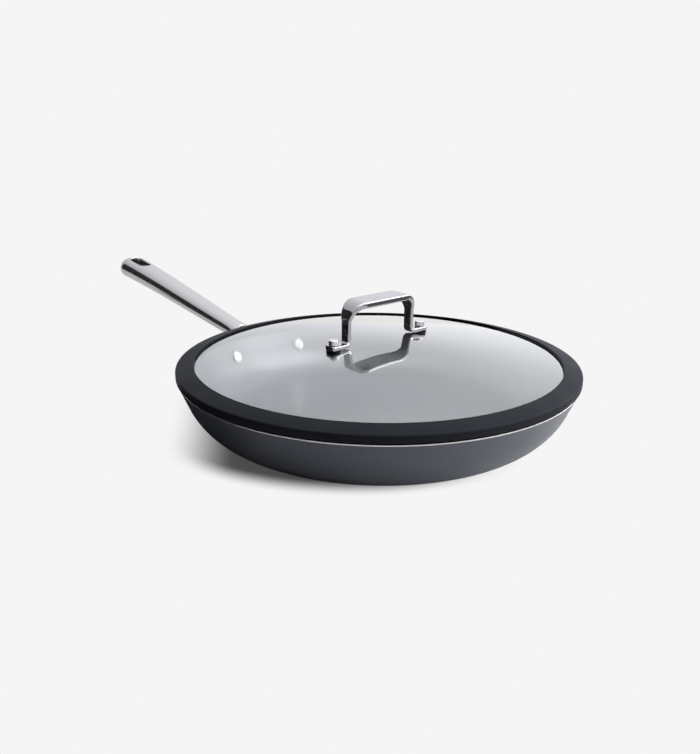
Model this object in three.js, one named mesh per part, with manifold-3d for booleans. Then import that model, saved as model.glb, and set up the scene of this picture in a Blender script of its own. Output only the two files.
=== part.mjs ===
// Frying pan with a domed glass lid. Millimetres, +Z up.
// The origin is the centre of the base, on the surface that the pan stands on.
// +X runs along the pan's handle. Heights named ..._Z are measured from the base.

import * as THREE from 'three';
import { mergeVertices } from 'three/addons/utils/BufferGeometryUtils.js';
import Module from 'manifold-3d';

const wasm = await Module();
wasm.setup();

const degrees = THREE.MathUtils.degToRad;

// Clearances
const FIT_GAP = 0.3;
const HOLE_CLEARANCE = 0.3;
const RIVET_HEAD_GAP = 0.75;
const SKIRT_CLEARANCE = 0.6;

// Fineness of the round faces
const ROUND_SEGMENTS = 60;
const SMALL_SEGMENTS = 18;
const ARC_STEPS = 7;
const ROUND_EDGE_STEPS = 2;
const MERGE_TOLERANCE = 1e-4;

// Pan shell
const RIM_R = 150;
const PAN_H = 46;
const WALL_FLARE = degrees(23);
const OUTER_CORNER_R = 50;
const INNER_CORNER_R = 45;
const WALL_T = 3.2;
const FLOOR_T = 4.6;
const RIM_EDGE_ROUND = 0.9;

// Steel disc let into the base
const PLATE_MARGIN = 9.4;
const PLATE_T = 1.2;

// Pan handle: a rising bar that spreads into a flange on the pan's wall
const HANDLE_LENGTH = 222.5;
const HANDLE_ROOT_DROP = 11.5;
const HANDLE_TIP_RISE = 26.8;
const HANDLE_ROOT_ANGLE = degrees(10.3);
const HANDLE_TIP_ANGLE = degrees(5.6);
const HANDLE_ROOT_PULL = 110;
const HANDLE_TIP_PULL = 45;
const HANDLE_ROOT_SINK = 12;
const NECK_W = 17.1;
const NECK_H = 12.2;
const GRIP_W = 31.5;
const GRIP_H = 21.2;
const TIP_ROUND_H = 6;
const FLARE_CLEARANCE = 5.1;
const FLARE_LENGTH = 46;
const FLARE_POWER = 2.4;
const BAR_SQUARENESS = 2.2;
const BAR_SECTION_POINTS = 24;
const BAR_STEPS = 9;
const FLARE_STEPS = 6;
const TIP_STEPS = 5;

// Opening in the handle's neck
const NECK_HOLE_START = 4;
const NECK_HOLE_LENGTH = 22;
const NECK_HOLE_W = 19;
const NECK_HOLE_ROUND = 2.6;

// Hanging slot near the handle's end
const SLOT_LENGTH = 28;
const SLOT_W = 11.5;
const SLOT_END_MARGIN = 12;

// Flange and its rivets
const FLANGE_T = 3.6;
const FLANGE_MARGIN = 9.5;
const FLANGE_DROP = 3.5;
const FLANGE_H = 21.5;
const FLANGE_ROUND = 9;
const RIVET_PITCH = 67;
const RIVET_DROP = 16;
const RIVET_SHANK_R = 2.7;
const RIVET_HEAD_R = 4.2;
const RIVET_HEAD_H = 2.2;
const RIVET_TAIL_R = 4.2;
const RIVET_TAIL_H = 1.8;

// Lid glass: a shallow dome with parallel faces
const GLASS_INSET = 6;
const GLASS_T = 4;
const DOME_RISE = 17.4;
const GLASS_EDGE_LIFT = 6.2;
const GLASS_EDGE_ROUND = 1;
const DOME_STEPS = 8;

// Silicone band round the glass
const BAND_LIP_INSET = 12.65;
const BAND_LIP_LIFT = 1.95;
const BAND_OVERHANG = 0.9;
const BAND_SHOULDER_RISE = 0.25;
const BAND_SIDE_LIFT = 1.3;
const BAND_EDGE_ROUND = 1.2;
const BAND_LOWER_LIP_INSET = 11;
const BAND_LOWER_LIP_T = 1.6;
const BAND_SEAT_W = 2;
const SKIRT_DEPTH = 3;
const SKIRT_T = 2.2;

// Lid handle: one strap, wide at the grip, narrow in the legs, flat at the feet
const LID_TURN = degrees(-92);
const SCREW_PITCH = 87.5;
const FOOT_W = 13;
const FOOT_T = 3.5;
const FOOT_REACH = 12.05;
const LEG_W = 7;
const LEG_T = 3.2;
const LID_GRIP_W = 20;
const LID_GRIP_T = 5.2;
const LID_GRIP_LIFT = 30;
const LID_CORNER_R = 12;
const FOOT_BEND_R = 3.4;
const STRAP_SQUARENESS = 4.5;
const STRAP_SECTION_POINTS = 12;
const STRAP_ARC_STEPS = 6;
const GRIP_SPREAD_POWER = 1.3;

// Fasteners of the lid handle: a barrel nut above each foot, a flat screw from below
const SCREW_SHANK_R = 2.3;
const SCREW_HEAD_R = 4.2;
const SCREW_HEAD_H = 1.5;
const SCREW_HEAD_ROUND = 0.5;
const SCREW_END_GAP = 0.4;
const BARREL_R = 4.4;
const BARREL_H = 4;
const BARREL_CAP_T = 1.2;
const BARREL_ROUND = 0.5;
const GLASS_HOLE_R = 3;
const GASKET_R = 5.5;
const GASKET_T = 0.6;
const WASHER_R = 5.2;
const WASHER_T = 0.7;

// Finishes
const FINISH = {
  anodised: { color: 0x3c3f44, roughness: 0.42, metalness: 0.6 },
  steel: { color: 0xc8c8c6, roughness: 0.3, metalness: 1 },
  polished: { color: 0xdcdcdc, roughness: 0.12, metalness: 1 },
  glass: { color: 0xeef2f2, roughness: 0.03, metalness: 0, transparent: true, opacity: 0.3 },
  silicone: { color: 0x1d1e20, roughness: 0.6, metalness: 0 },
};

// Working geometry

/** Positions and triangles only, with shared corners and no flat triangles. */
function sharedCorners(geometry) {
  const bare = geometry.clone();
  bare.deleteAttribute('normal');
  bare.deleteAttribute('uv');
  const merged = mergeVertices(bare, MERGE_TOLERANCE);
  const corners = merged.index.array;
  const kept = [];
  for (let i = 0; i < corners.length; i += 3) {
    const [a, b, c] = corners.slice(i, i + 3);
    if (a !== b && b !== c && c !== a) kept.push(a, b, c);
  }
  merged.setIndex(kept);
  return merged;
}

/** Six times the volume inside a closed geometry: negative where its faces point inward. */
function signedVolume(geometry) {
  const position = geometry.attributes.position;
  const corners = geometry.index.array;
  const [a, b, c] = [new THREE.Vector3(), new THREE.Vector3(), new THREE.Vector3()];
  let sum = 0;
  for (let i = 0; i < corners.length; i += 3) {
    a.fromBufferAttribute(position, corners[i]);
    b.fromBufferAttribute(position, corners[i + 1]);
    c.fromBufferAttribute(position, corners[i + 2]);
    sum += a.dot(b.cross(c));
  }
  return sum;
}

/** The closed geometry with every face pointing out. */
function facingOut(geometry) {
  const shared = sharedCorners(geometry);
  if (signedVolume(shared) < 0) shared.setIndex(Array.from(shared.index.array).reverse());
  shared.computeVertexNormals();
  return shared;
}

function toSolid(geometry) {
  const shared = facingOut(geometry);
  return new wasm.Manifold(new wasm.Mesh({
    numProp: 3,
    vertProperties: new Float32Array(shared.attributes.position.array),
    triVerts: new Uint32Array(shared.index.array),
  }));
}

function toGeometry(solid) {
  const mesh = solid.getMesh();
  const geometry = new THREE.BufferGeometry();
  geometry.setAttribute('position', new THREE.BufferAttribute(mesh.vertProperties, 3));
  geometry.setIndex(new THREE.BufferAttribute(mesh.triVerts, 1));
  geometry.computeVertexNormals();
  return geometry;
}

function cut(geometry, ...tools) {
  return toGeometry(tools.reduce((rest, tool) => rest.subtract(toSolid(tool)), toSolid(geometry)));
}

function join(geometry, ...others) {
  return toGeometry(others.reduce((whole, other) => whole.add(toSolid(other)), toSolid(geometry)));
}

function common(geometry, other) {
  return toGeometry(toSolid(geometry).intersect(toSolid(other)));
}

/** Turns a profile of (radius, height) points about the Z axis. */
function revolve(profile, segments = ROUND_SEGMENTS) {
  return facingOut(new THREE.LatheGeometry(profile, segments).rotateX(Math.PI / 2));
}

/** A plain round solid between two heights. */
function disc(radius, low, high, segments = SMALL_SEGMENTS) {
  return revolve(points([0, low], [radius, low], [radius, high], [0, high]), segments);
}

/** A flat ring between two heights. */
function ring(innerR, outerR, low, high) {
  const outline = points([innerR, low], [outerR, low], [outerR, high], [innerR, high], [innerR, low]);
  return revolve(outline, SMALL_SEGMENTS);
}

/** Skins over closed sections that have equal counts of points, with a flat face at each end. */
function loft(sections) {
  const count = sections[0].length;
  const corners = sections.flat();
  const index = [];
  for (let s = 0; s + 1 < sections.length; s += 1) {
    for (let i = 0; i < count; i += 1) {
      const here = s * count + i;
      const next = s * count + ((i + 1) % count);
      index.push(here, next, next + count, here, next + count, here + count);
    }
  }
  const last = (sections.length - 1) * count;
  for (let i = 1; i + 1 < count; i += 1) {
    index.push(0, i + 1, i, last, last + i, last + i + 1);
  }
  const geometry = new THREE.BufferGeometry().setFromPoints(corners);
  geometry.setIndex(index);
  return facingOut(geometry);
}

function points(...pairs) {
  return pairs.map(([x, y]) => new THREE.Vector2(x, y));
}

/** Points of a circular arc, both ends included. */
function arc(centreX, centreY, radius, from, to, steps = ARC_STEPS) {
  return Array.from({ length: steps + 1 }, (_, i) => {
    const angle = THREE.MathUtils.lerp(from, to, i / steps);
    return new THREE.Vector2(centreX + radius * Math.cos(angle), centreY + radius * Math.sin(angle));
  });
}

/** Replaces a profile's corner with a short curve that leaves the corner by the given distance. */
function roundedCorner(before, corner, after, distance, steps = ROUND_EDGE_STEPS) {
  const toBefore = before.clone().sub(corner).setLength(distance).add(corner);
  const toAfter = after.clone().sub(corner).setLength(distance).add(corner);
  return new THREE.QuadraticBezierCurve(toBefore, corner, toAfter).getPoints(steps);
}

/** A section between an ellipse (squareness 2) and a rectangle (large squareness). */
function softSection(width, height, squareness, count) {
  const bulge = (value) => Math.sign(value) * Math.abs(value) ** (2 / squareness);
  return Array.from({ length: count }, (_, i) => {
    const angle = (2 * Math.PI * (i + 0.5)) / count;
    return new THREE.Vector2(bulge(Math.cos(angle)) * width / 2, bulge(Math.sin(angle)) * height / 2);
  });
}

/** Half-round falloff: 0 at an end, 1 from one radius inside it. */
function endRound(distance, radius) {
  const inside = THREE.MathUtils.clamp(1 - distance / radius, 0, 1);
  return Math.sqrt(1 - inside * inside);
}

function addPart(group, name, geometry, finish) {
  const mesh = new THREE.Mesh(geometry, new THREE.MeshStandardMaterial(finish));
  mesh.name = name;
  group.add(mesh);
  return mesh;
}

// Pan wall, as radius over height

const WALL_ACROSS = WALL_T / Math.cos(WALL_FLARE);

function outerWallR(z) {
  return RIM_R - (PAN_H - z) * Math.tan(WALL_FLARE);
}

/** Centre of the corner arc that runs from a floor height into a wall line. */
function cornerCentre(wallR, floorZ, cornerR) {
  const tangentZ = floorZ + cornerR * (1 - Math.sin(WALL_FLARE));
  const centreR = wallR(tangentZ) - cornerR * Math.cos(WALL_FLARE);
  return new THREE.Vector2(centreR, floorZ + cornerR);
}

const OUTER_CORNER = cornerCentre(outerWallR, 0, OUTER_CORNER_R);
const PLATE_R = OUTER_CORNER.x - PLATE_MARGIN;

/** Outer wall pushed out by a distance: the corner arc, then a point level with the rim. */
function outerWallProfile(offset) {
  const radius = OUTER_CORNER_R + offset;
  const sweep = arc(OUTER_CORNER.x, OUTER_CORNER.y, radius, -Math.PI / 2, -WALL_FLARE);
  return [...sweep, new THREE.Vector2(RIM_R + offset / Math.cos(WALL_FLARE), PAN_H)];
}

function panBody() {
  const innerWallR = (z) => outerWallR(z) - WALL_ACROSS;
  const innerCorner = cornerCentre(innerWallR, FLOOR_T, INNER_CORNER_R);
  const outside = outerWallProfile(0);
  const inside = arc(innerCorner.x, innerCorner.y, INNER_CORNER_R, -WALL_FLARE, -Math.PI / 2);
  const rimOut = outside.pop();
  const rimIn = new THREE.Vector2(RIM_R - WALL_ACROSS, PAN_H);
  const recessR = PLATE_R + FIT_GAP;
  const recessZ = PLATE_T + FIT_GAP;
  const shell = revolve([
    ...points([0, recessZ], [recessR, recessZ], [recessR, 0]),
    ...outside,
    ...roundedCorner(outside.at(-1), rimOut, rimIn, RIM_EDGE_ROUND),
    ...roundedCorner(rimOut, rimIn, inside[0], RIM_EDGE_ROUND),
    ...inside,
    new THREE.Vector2(0, FLOOR_T),
  ]);
  return cut(shell, ...rivetHoles());
}

function basePlate() {
  return disc(PLATE_R, 0, PLATE_T, ROUND_SEGMENTS);
}

// Rivets, along the wall's outward normal. Their own zero is the wall's inner face.

const RIVET_LENGTH = WALL_T + FIT_GAP + FLANGE_T;
const RIVET_Z = PAN_H - RIVET_DROP;
const RIVET_R = outerWallR(RIVET_Z) - WALL_ACROSS;
const RIVET_ANGLE = Math.asin(RIVET_PITCH / 2 / RIVET_R);

/** Places a geometry that was made along +Z at a rivet: side is 1 or -1. */
function atRivet(geometry, side) {
  return geometry
    .rotateY(Math.PI / 2 + WALL_FLARE)
    .translate(RIVET_R, 0, RIVET_Z)
    .rotateZ(side * RIVET_ANGLE);
}

function rivetHoles() {
  const overrun = RIVET_HEAD_R;
  const radius = RIVET_SHANK_R + HOLE_CLEARANCE;
  return [1, -1].map((side) => atRivet(disc(radius, -overrun, RIVET_LENGTH + overrun), side));
}

function rivet(side) {
  const headZ = -RIVET_HEAD_GAP;
  const tailZ = RIVET_LENGTH + FIT_GAP;
  const domeR = (RIVET_HEAD_R ** 2 + RIVET_HEAD_H ** 2) / (2 * RIVET_HEAD_H);
  const domeAngle = Math.asin(RIVET_HEAD_R / domeR);
  const domeCentre = headZ - RIVET_HEAD_H + domeR;
  const down = -Math.PI / 2;
  const profile = [
    ...arc(0, domeCentre, domeR, down, down + domeAngle, 4),
    ...points([RIVET_SHANK_R, headZ], [RIVET_SHANK_R, tailZ], [RIVET_TAIL_R, tailZ]),
    ...points([RIVET_TAIL_R, tailZ + RIVET_TAIL_H], [0, tailZ + RIVET_TAIL_H]),
  ];
  profile[0].x = 0;
  return atRivet(revolve(profile, SMALL_SEGMENTS), side);
}

// Pan handle

const FLANGE_W = RIVET_PITCH + 2 * FLANGE_MARGIN;
const FLARE_W = RIVET_PITCH - 2 * (RIVET_TAIL_R + FLARE_CLEARANCE);

/** The handle's centre line in the XZ plane, from the rim's edge to the tip. */
function handleLine() {
  const root = new THREE.Vector2(RIM_R, PAN_H - HANDLE_ROOT_DROP);
  const tip = new THREE.Vector2(RIM_R + HANDLE_LENGTH, PAN_H + HANDLE_TIP_RISE);
  const lean = new THREE.Vector2(Math.cos(HANDLE_ROOT_ANGLE), Math.sin(HANDLE_ROOT_ANGLE));
  const level = new THREE.Vector2(Math.cos(HANDLE_TIP_ANGLE), Math.sin(HANDLE_TIP_ANGLE));
  return new THREE.CubicBezierCurve(
    root,
    root.clone().addScaledVector(lean, HANDLE_ROOT_PULL),
    tip.clone().addScaledVector(level, -HANDLE_TIP_PULL),
    tip,
  );
}

/** A place on the handle: its centre, direction and normal, at a distance along the centre line. */
function handlePlace(line, distance) {
  const along = distance / line.getLength();
  const inside = THREE.MathUtils.clamp(along, 0, 1);
  const direction = line.getTangentAt(inside);
  const beyond = distance - inside * line.getLength();
  const centre = line.getPointAt(inside).addScaledVector(direction, beyond);
  return { centre, direction, normal: new THREE.Vector2(-direction.y, direction.x) };
}

/** One section of the handle: the bar widens outward, flares to the pan and rounds at the tip. */
function handleSection(line, distance) {
  const length = line.getLength();
  const { centre, normal } = handlePlace(line, distance);
  const along = THREE.MathUtils.clamp(distance / length, 0, 1);
  const flare = THREE.MathUtils.clamp(1 - distance / FLARE_LENGTH, 0, 2) ** FLARE_POWER;
  const tipW = endRound(length - distance, GRIP_W / 2);
  const tipH = TIP_ROUND_H + (GRIP_H - TIP_ROUND_H) * tipW;
  const width = (THREE.MathUtils.lerp(NECK_W, GRIP_W, along) + (FLARE_W - NECK_W) * flare) * tipW;
  const height = Math.min(THREE.MathUtils.lerp(NECK_H, GRIP_H, along), tipH);
  return softSection(width, height, BAR_SQUARENESS, BAR_SECTION_POINTS).map((p) => (
    new THREE.Vector3(centre.x + normal.x * p.y, p.x, centre.y + normal.y * p.y)
  ));
}

function handleStations(line) {
  const length = line.getLength();
  const tipStart = length - GRIP_W / 2;
  const spread = (from, to, steps) => (
    Array.from({ length: steps }, (_, i) => THREE.MathUtils.lerp(from, to, i / steps))
  );
  const tip = Array.from({ length: TIP_STEPS }, (_, i) => (
    tipStart + (GRIP_W / 2) * Math.sin((Math.PI / 2) * ((i + 0.5) / TIP_STEPS))
  ));
  const flare = spread(-HANDLE_ROOT_SINK, FLARE_LENGTH, FLARE_STEPS);
  return [...flare, ...spread(FLARE_LENGTH, tipStart, BAR_STEPS), tipStart, ...tip];
}

/** The space of the pan up to its rim, with a gap added, as a tool for fitting the handle. */
function panSpace(offset) {
  const top = PAN_H + GRIP_H;
  const wall = outerWallProfile(offset);
  const base = new THREE.Vector2(0, -offset);
  const reach = wall.at(-1).x;
  return revolve([base, ...wall, ...points([reach, top], [0, top])]);
}

/** A plate that follows the wall, with rounded corners. */
function flange() {
  const outline = new THREE.Shape();
  const high = PAN_H - FLANGE_DROP;
  const low = high - FLANGE_H;
  const [half, round] = [FLANGE_W / 2, FLANGE_ROUND];
  outline.absarc(half - round, low + round, round, -Math.PI / 2, 0);
  outline.absarc(half - round, high - round, round, 0, Math.PI / 2);
  outline.absarc(round - half, high - round, round, Math.PI / 2, Math.PI);
  outline.absarc(round - half, low + round, round, Math.PI, Math.PI * 1.5);
  const depth = RIM_R;
  const block = new THREE.ExtrudeGeometry(outline, { depth, bevelEnabled: false, curveSegments: 5 })
    .rotateX(Math.PI / 2)
    .rotateZ(Math.PI / 2)
    .translate(RIM_R / 2, 0, 0);
  return cut(common(block, panSpace(FIT_GAP + FLANGE_T)), panSpace(FIT_GAP));
}

/** A flat outline, in the handle's length and width, cut straight through the handle. */
function throughHandle(line, outline, distance) {
  const { centre, direction } = handlePlace(line, distance);
  const depth = 3 * GRIP_H;
  return new THREE.ExtrudeGeometry(outline, { depth, bevelEnabled: false, curveSegments: 6 })
    .translate(0, 0, -depth / 2)
    .rotateY(-direction.angle())
    .translate(centre.x, 0, centre.y);
}

function slotOutline() {
  const reach = (SLOT_LENGTH - SLOT_W) / 2;
  const outline = new THREE.Shape();
  outline.absarc(reach, 0, SLOT_W / 2, -Math.PI / 2, Math.PI / 2);
  outline.absarc(-reach, 0, SLOT_W / 2, Math.PI / 2, Math.PI * 1.5);
  return outline;
}

/** A triangle with round corners, wide at the pan and narrow where the neck closes. */
function neckHoleOutline() {
  const round = NECK_HOLE_ROUND;
  const wide = NECK_HOLE_W / 2 - round;
  const far = NECK_HOLE_LENGTH - round;
  const slant = Math.atan2(far - round, wide);
  const outline = new THREE.Shape();
  outline.absarc(far, 0, round, -slant, slant);
  outline.absarc(round, wide, round, slant, Math.PI);
  outline.absarc(round, -wide, round, Math.PI, 2 * Math.PI - slant);
  return outline;
}

function panHandle() {
  const line = handleLine();
  const bar = loft(handleStations(line).map((distance) => handleSection(line, distance)));
  const slotCentre = line.getLength() - SLOT_END_MARGIN - SLOT_LENGTH / 2;
  return cut(
    join(cut(bar, panSpace(FIT_GAP)), flange()),
    throughHandle(line, slotOutline(), slotCentre),
    throughHandle(line, neckHoleOutline(), NECK_HOLE_START),
    ...rivetHoles(),
  );
}

// Lid glass. Both faces are spheres about one centre on the lid's axis.

const GLASS_R = RIM_R - GLASS_INSET;
const DOME_R = (GLASS_R ** 2 + DOME_RISE ** 2) / (2 * DOME_RISE);
const CROWN_Z = PAN_H + GLASS_EDGE_LIFT + DOME_RISE;

/** Height of the dome at a radius, at a depth below its top face. */
function domeZ(r, depth = 0) {
  return CROWN_Z - DOME_R + Math.sqrt((DOME_R - depth) ** 2 - r * r);
}

/** A dome face from the axis out to a radius. */
function domeProfile(outerR, depth) {
  return Array.from({ length: DOME_STEPS + 1 }, (_, i) => {
    const r = (outerR * i) / DOME_STEPS;
    return new THREE.Vector2(r, domeZ(r, depth));
  });
}

/** All the space under a dome face, as a tool for the pieces that lie on the glass. */
function underDome(depth) {
  return revolve([...points([0, 0], [GLASS_R, 0]), ...domeProfile(GLASS_R, depth).reverse()]);
}

function lidGlass() {
  const top = domeProfile(GLASS_R, 0);
  const under = domeProfile(GLASS_R, GLASS_T);
  const topEdge = top.pop();
  const underEdge = under.pop();
  const plate = revolve([
    ...under,
    ...roundedCorner(under.at(-1), underEdge, topEdge, GLASS_EDGE_ROUND),
    ...roundedCorner(underEdge, topEdge, top.at(-1), GLASS_EDGE_ROUND),
    ...top.reverse(),
  ]);
  const holes = [1, -1].map((side) => (
    disc(GLASS_HOLE_R, PAN_H, CROWN_Z + GLASS_T)
      .translate(side * SCREW_PITCH / 2, 0, 0)
      .rotateZ(LID_TURN)
  ));
  return cut(plate, ...holes);
}

/** The band grips the glass edge in a slot, rests on the rim and dips inside the wall. */
function lidRimBand() {
  const rimInR = RIM_R - WALL_ACROSS;
  const outR = RIM_R + BAND_OVERHANG;
  const lipR = RIM_R - BAND_LIP_INSET;
  const lowerLipR = RIM_R - BAND_LOWER_LIP_INSET;
  const slotR = GLASS_R + FIT_GAP;
  const seatZ = PAN_H + FIT_GAP;
  const sideZ = PAN_H + BAND_SIDE_LIFT;
  const skirtZ = PAN_H - SKIRT_DEPTH;
  const skirtOutR = outerWallR(skirtZ) - WALL_ACROSS - SKIRT_CLEARANCE;
  const slotTop = (r) => domeZ(r, -FIT_GAP);
  const slotUnder = (r) => domeZ(r, GLASS_T + FIT_GAP);
  const lipUnder = new THREE.Vector2(lipR, slotTop(lipR));
  const lipTop = new THREE.Vector2(lipR, domeZ(lipR) + BAND_LIP_LIFT);
  const shoulder = new THREE.Vector2(outR, PAN_H + GLASS_EDGE_LIFT + BAND_SHOULDER_RISE);
  const sideFoot = new THREE.Vector2(outR, sideZ);
  const seatR = rimInR + BAND_SEAT_W;
  const lowerLipZ = slotUnder(lowerLipR);
  return revolve([
    lipUnder,
    ...points([slotR, slotTop(slotR)], [slotR, slotUnder(slotR)], [lowerLipR, lowerLipZ]),
    ...points([lowerLipR, lowerLipZ - BAND_LOWER_LIP_T], [skirtOutR - SKIRT_T, skirtZ]),
    ...points([skirtOutR, skirtZ], [rimInR - SKIRT_CLEARANCE, seatZ], [seatR, seatZ], [seatR, sideZ]),
    sideFoot,
    ...roundedCorner(sideFoot, shoulder, lipTop, BAND_EDGE_ROUND),
    ...roundedCorner(shoulder, lipTop, lipUnder, BAND_EDGE_ROUND / 2),
    lipUnder,
  ]);
}

// Lid handle and its fasteners, made along X and then turned together with the lid.

const SCREW_X = SCREW_PITCH / 2;
const UPPER_GASKET_TOP = domeZ(SCREW_X) + FIT_GAP + GASKET_T;
const FOOT_UNDER = UPPER_GASKET_TOP + FIT_GAP;
const FOOT_TOP = FOOT_UNDER + FOOT_T;
const LOWER_GASKET_UNDER = domeZ(SCREW_X, GLASS_T) - FIT_GAP - GASKET_T;
const WASHER_TOP = LOWER_GASKET_UNDER - FIT_GAP;
const SCREW_HEAD_TOP = WASHER_TOP - WASHER_T - FIT_GAP;
const BARREL_UNDER = FOOT_TOP + FIT_GAP;
const BARREL_TOP = BARREL_UNDER + BARREL_H;

/** A place on the strap: its centre, the direction it runs in, its width and its thickness. */
function strapPlace(x, z, angle, width, thickness) {
  return { x, z, angle, width, thickness };
}

/** The rounded tip of a foot, up to its full width. */
function footTip(z) {
  const radius = FOOT_W / 2;
  return Array.from({ length: STRAP_ARC_STEPS }, (_, i) => {
    const turn = (Math.PI / 2) * ((i + 0.5) / STRAP_ARC_STEPS);
    return strapPlace(-SCREW_X - radius * Math.cos(turn), z, 0, FOOT_W * Math.sin(turn), FOOT_T);
  });
}

/** A quarter bend of the strap from one direction, width and thickness to another. */
function strapBend(centreX, centreZ, radius, from, to, blend) {
  const turnsLeft = Math.sign(to.angle - from.angle);
  return Array.from({ length: STRAP_ARC_STEPS + 1 }, (_, i) => {
    const along = i / STRAP_ARC_STEPS;
    const angle = THREE.MathUtils.lerp(from.angle, to.angle, along);
    const mix = (key) => THREE.MathUtils.lerp(from[key], to[key], blend(along));
    const x = centreX + turnsLeft * radius * Math.sin(angle);
    const z = centreZ - turnsLeft * radius * Math.cos(angle);
    return strapPlace(x, z, angle, mix('width'), mix('thickness'));
  });
}

/** Half of the strap, from the tip of a foot to the middle of the grip. */
function halfStrap() {
  const footZ = FOOT_UNDER + FOOT_T / 2;
  const gripZ = FOOT_TOP + LID_GRIP_LIFT - LID_GRIP_T / 2;
  const legX = FOOT_REACH - SCREW_X;
  const foot = strapPlace(0, 0, 0, FOOT_W, FOOT_T);
  const leg = strapPlace(0, 0, Math.PI / 2, LEG_W, LEG_T);
  const grip = strapPlace(0, gripZ, 0, LID_GRIP_W, LID_GRIP_T);
  const heel = (along) => THREE.MathUtils.smoothstep(along, 0, 1);
  const corner = (along) => along ** GRIP_SPREAD_POWER;
  return [
    ...footTip(footZ),
    ...strapBend(legX - FOOT_BEND_R, footZ + FOOT_BEND_R, FOOT_BEND_R, foot, leg, heel),
    ...strapBend(legX + LID_CORNER_R, gripZ - LID_CORNER_R, LID_CORNER_R, leg, grip, corner),
    grip,
  ];
}

function strapSection({ x, z, angle, width, thickness }) {
  const normal = new THREE.Vector2(-Math.sin(angle), Math.cos(angle));
  return softSection(width, thickness, STRAP_SQUARENESS, STRAP_SECTION_POINTS).map((p) => (
    new THREE.Vector3(x + normal.x * p.y, p.x, z + normal.y * p.y)
  ));
}

function lidHandle() {
  const half = halfStrap();
  const mirrored = half.slice(0, -1).reverse().map((place) => (
    strapPlace(-place.x, place.z, -place.angle, place.width, place.thickness)
  ));
  const strap = loft([...half, ...mirrored].map(strapSection));
  const holes = [1, -1].map((side) => (
    disc(SCREW_SHANK_R + HOLE_CLEARANCE, FOOT_UNDER - FOOT_T, FOOT_TOP + FOOT_T)
      .translate(side * SCREW_X, 0, 0)
  ));
  return cut(strap, ...holes);
}

/** Flat-headed screw, up through glass and foot into the barrel nut. */
function lidScrew() {
  const endZ = BARREL_TOP - BARREL_CAP_T - SCREW_END_GAP;
  const lowZ = SCREW_HEAD_TOP - SCREW_HEAD_H;
  const [low, edge, high] = points([0, lowZ], [SCREW_HEAD_R, lowZ], [SCREW_HEAD_R, SCREW_HEAD_TOP]);
  return revolve([
    low,
    ...roundedCorner(low, edge, high, SCREW_HEAD_ROUND),
    high,
    ...points([SCREW_SHANK_R, SCREW_HEAD_TOP], [SCREW_SHANK_R, endZ], [0, endZ]),
  ], SMALL_SEGMENTS);
}

/** Plain round nut on the foot, bored from below. */
function barrelNut() {
  const boreR = SCREW_SHANK_R + HOLE_CLEARANCE;
  const boreZ = BARREL_TOP - BARREL_CAP_T;
  const [under, edge, top] = points([BARREL_R, BARREL_UNDER], [BARREL_R, BARREL_TOP], [0, BARREL_TOP]);
  return revolve([
    ...points([0, boreZ], [boreR, boreZ], [boreR, BARREL_UNDER]),
    under,
    ...roundedCorner(under, edge, top, BARREL_ROUND),
    top,
  ], SMALL_SEGMENTS);
}

/** Soft ring between foot and glass, moulded to the dome's top face. */
function upperGasket(side) {
  const low = domeZ(SCREW_X + GASKET_R);
  const blank = ring(SCREW_SHANK_R + HOLE_CLEARANCE, GASKET_R, low, UPPER_GASKET_TOP);
  const place = side * SCREW_X;
  return cut(blank.translate(place, 0, 0), underDome(-FIT_GAP)).translate(-place, 0, 0);
}

/** Soft ring under the glass, moulded to the dome's under face. */
function lowerGasket(side) {
  const high = domeZ(SCREW_X - GASKET_R, GLASS_T);
  const blank = ring(SCREW_SHANK_R + HOLE_CLEARANCE, GASKET_R, LOWER_GASKET_UNDER, high);
  const place = side * SCREW_X;
  return common(blank.translate(place, 0, 0), underDome(GLASS_T + FIT_GAP)).translate(-place, 0, 0);
}

function washer() {
  return ring(SCREW_SHANK_R + HOLE_CLEARANCE, WASHER_R, WASHER_TOP - WASHER_T, WASHER_TOP);
}

// Assembly

const pan = new THREE.Group();
addPart(pan, 'pan_body', panBody(), FINISH.anodised);
addPart(pan, 'induction_base_plate', basePlate(), FINISH.steel);
addPart(pan, 'pan_handle', panHandle(), FINISH.steel);
addPart(pan, 'handle_rivet_left', rivet(1), FINISH.steel);
addPart(pan, 'handle_rivet_right', rivet(-1), FINISH.steel);

const lid = new THREE.Group();
addPart(lid, 'lid_glass', lidGlass(), FINISH.glass);
addPart(lid, 'lid_rim_band', lidRimBand(), FINISH.silicone);

const lidGrip = new THREE.Group();
lidGrip.rotation.z = LID_TURN;
lid.add(lidGrip);
addPart(lidGrip, 'lid_handle', lidHandle(), FINISH.polished);

for (const [end, side] of [['near', 1], ['far', -1]]) {
  const stack = new THREE.Group();
  stack.position.x = side * SCREW_X;
  lidGrip.add(stack);
  addPart(stack, `barrel_nut_${end}`, barrelNut(), FINISH.polished);
  addPart(stack, `lid_screw_${end}`, lidScrew(), FINISH.steel);
  addPart(stack, `upper_gasket_${end}`, upperGasket(side), FINISH.silicone);
  addPart(stack, `lower_gasket_${end}`, lowerGasket(side), FINISH.silicone);
  addPart(stack, `washer_${end}`, washer(), FINISH.steel);
}

const fryingPan = new THREE.Group();
fryingPan.add(pan, lid);

export default fryingPan;
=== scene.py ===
"""Frying pan with a domed glass lid, dressed for a pale studio.

Everything is in metres, +Z up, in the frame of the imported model: the origin is the centre of the base and
+X runs along the pan's handle. Sizes of the pan and the lid are in millimetres here, and are turned into
metres when a mesh is made.
"""

import logging
import math
from abc import ABC, abstractmethod
from bisect import bisect_right
from dataclasses import dataclass, field
from enum import Enum
from typing import Iterable, Sequence

import bmesh
import bpy
from mathutils import Matrix, Vector


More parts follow.
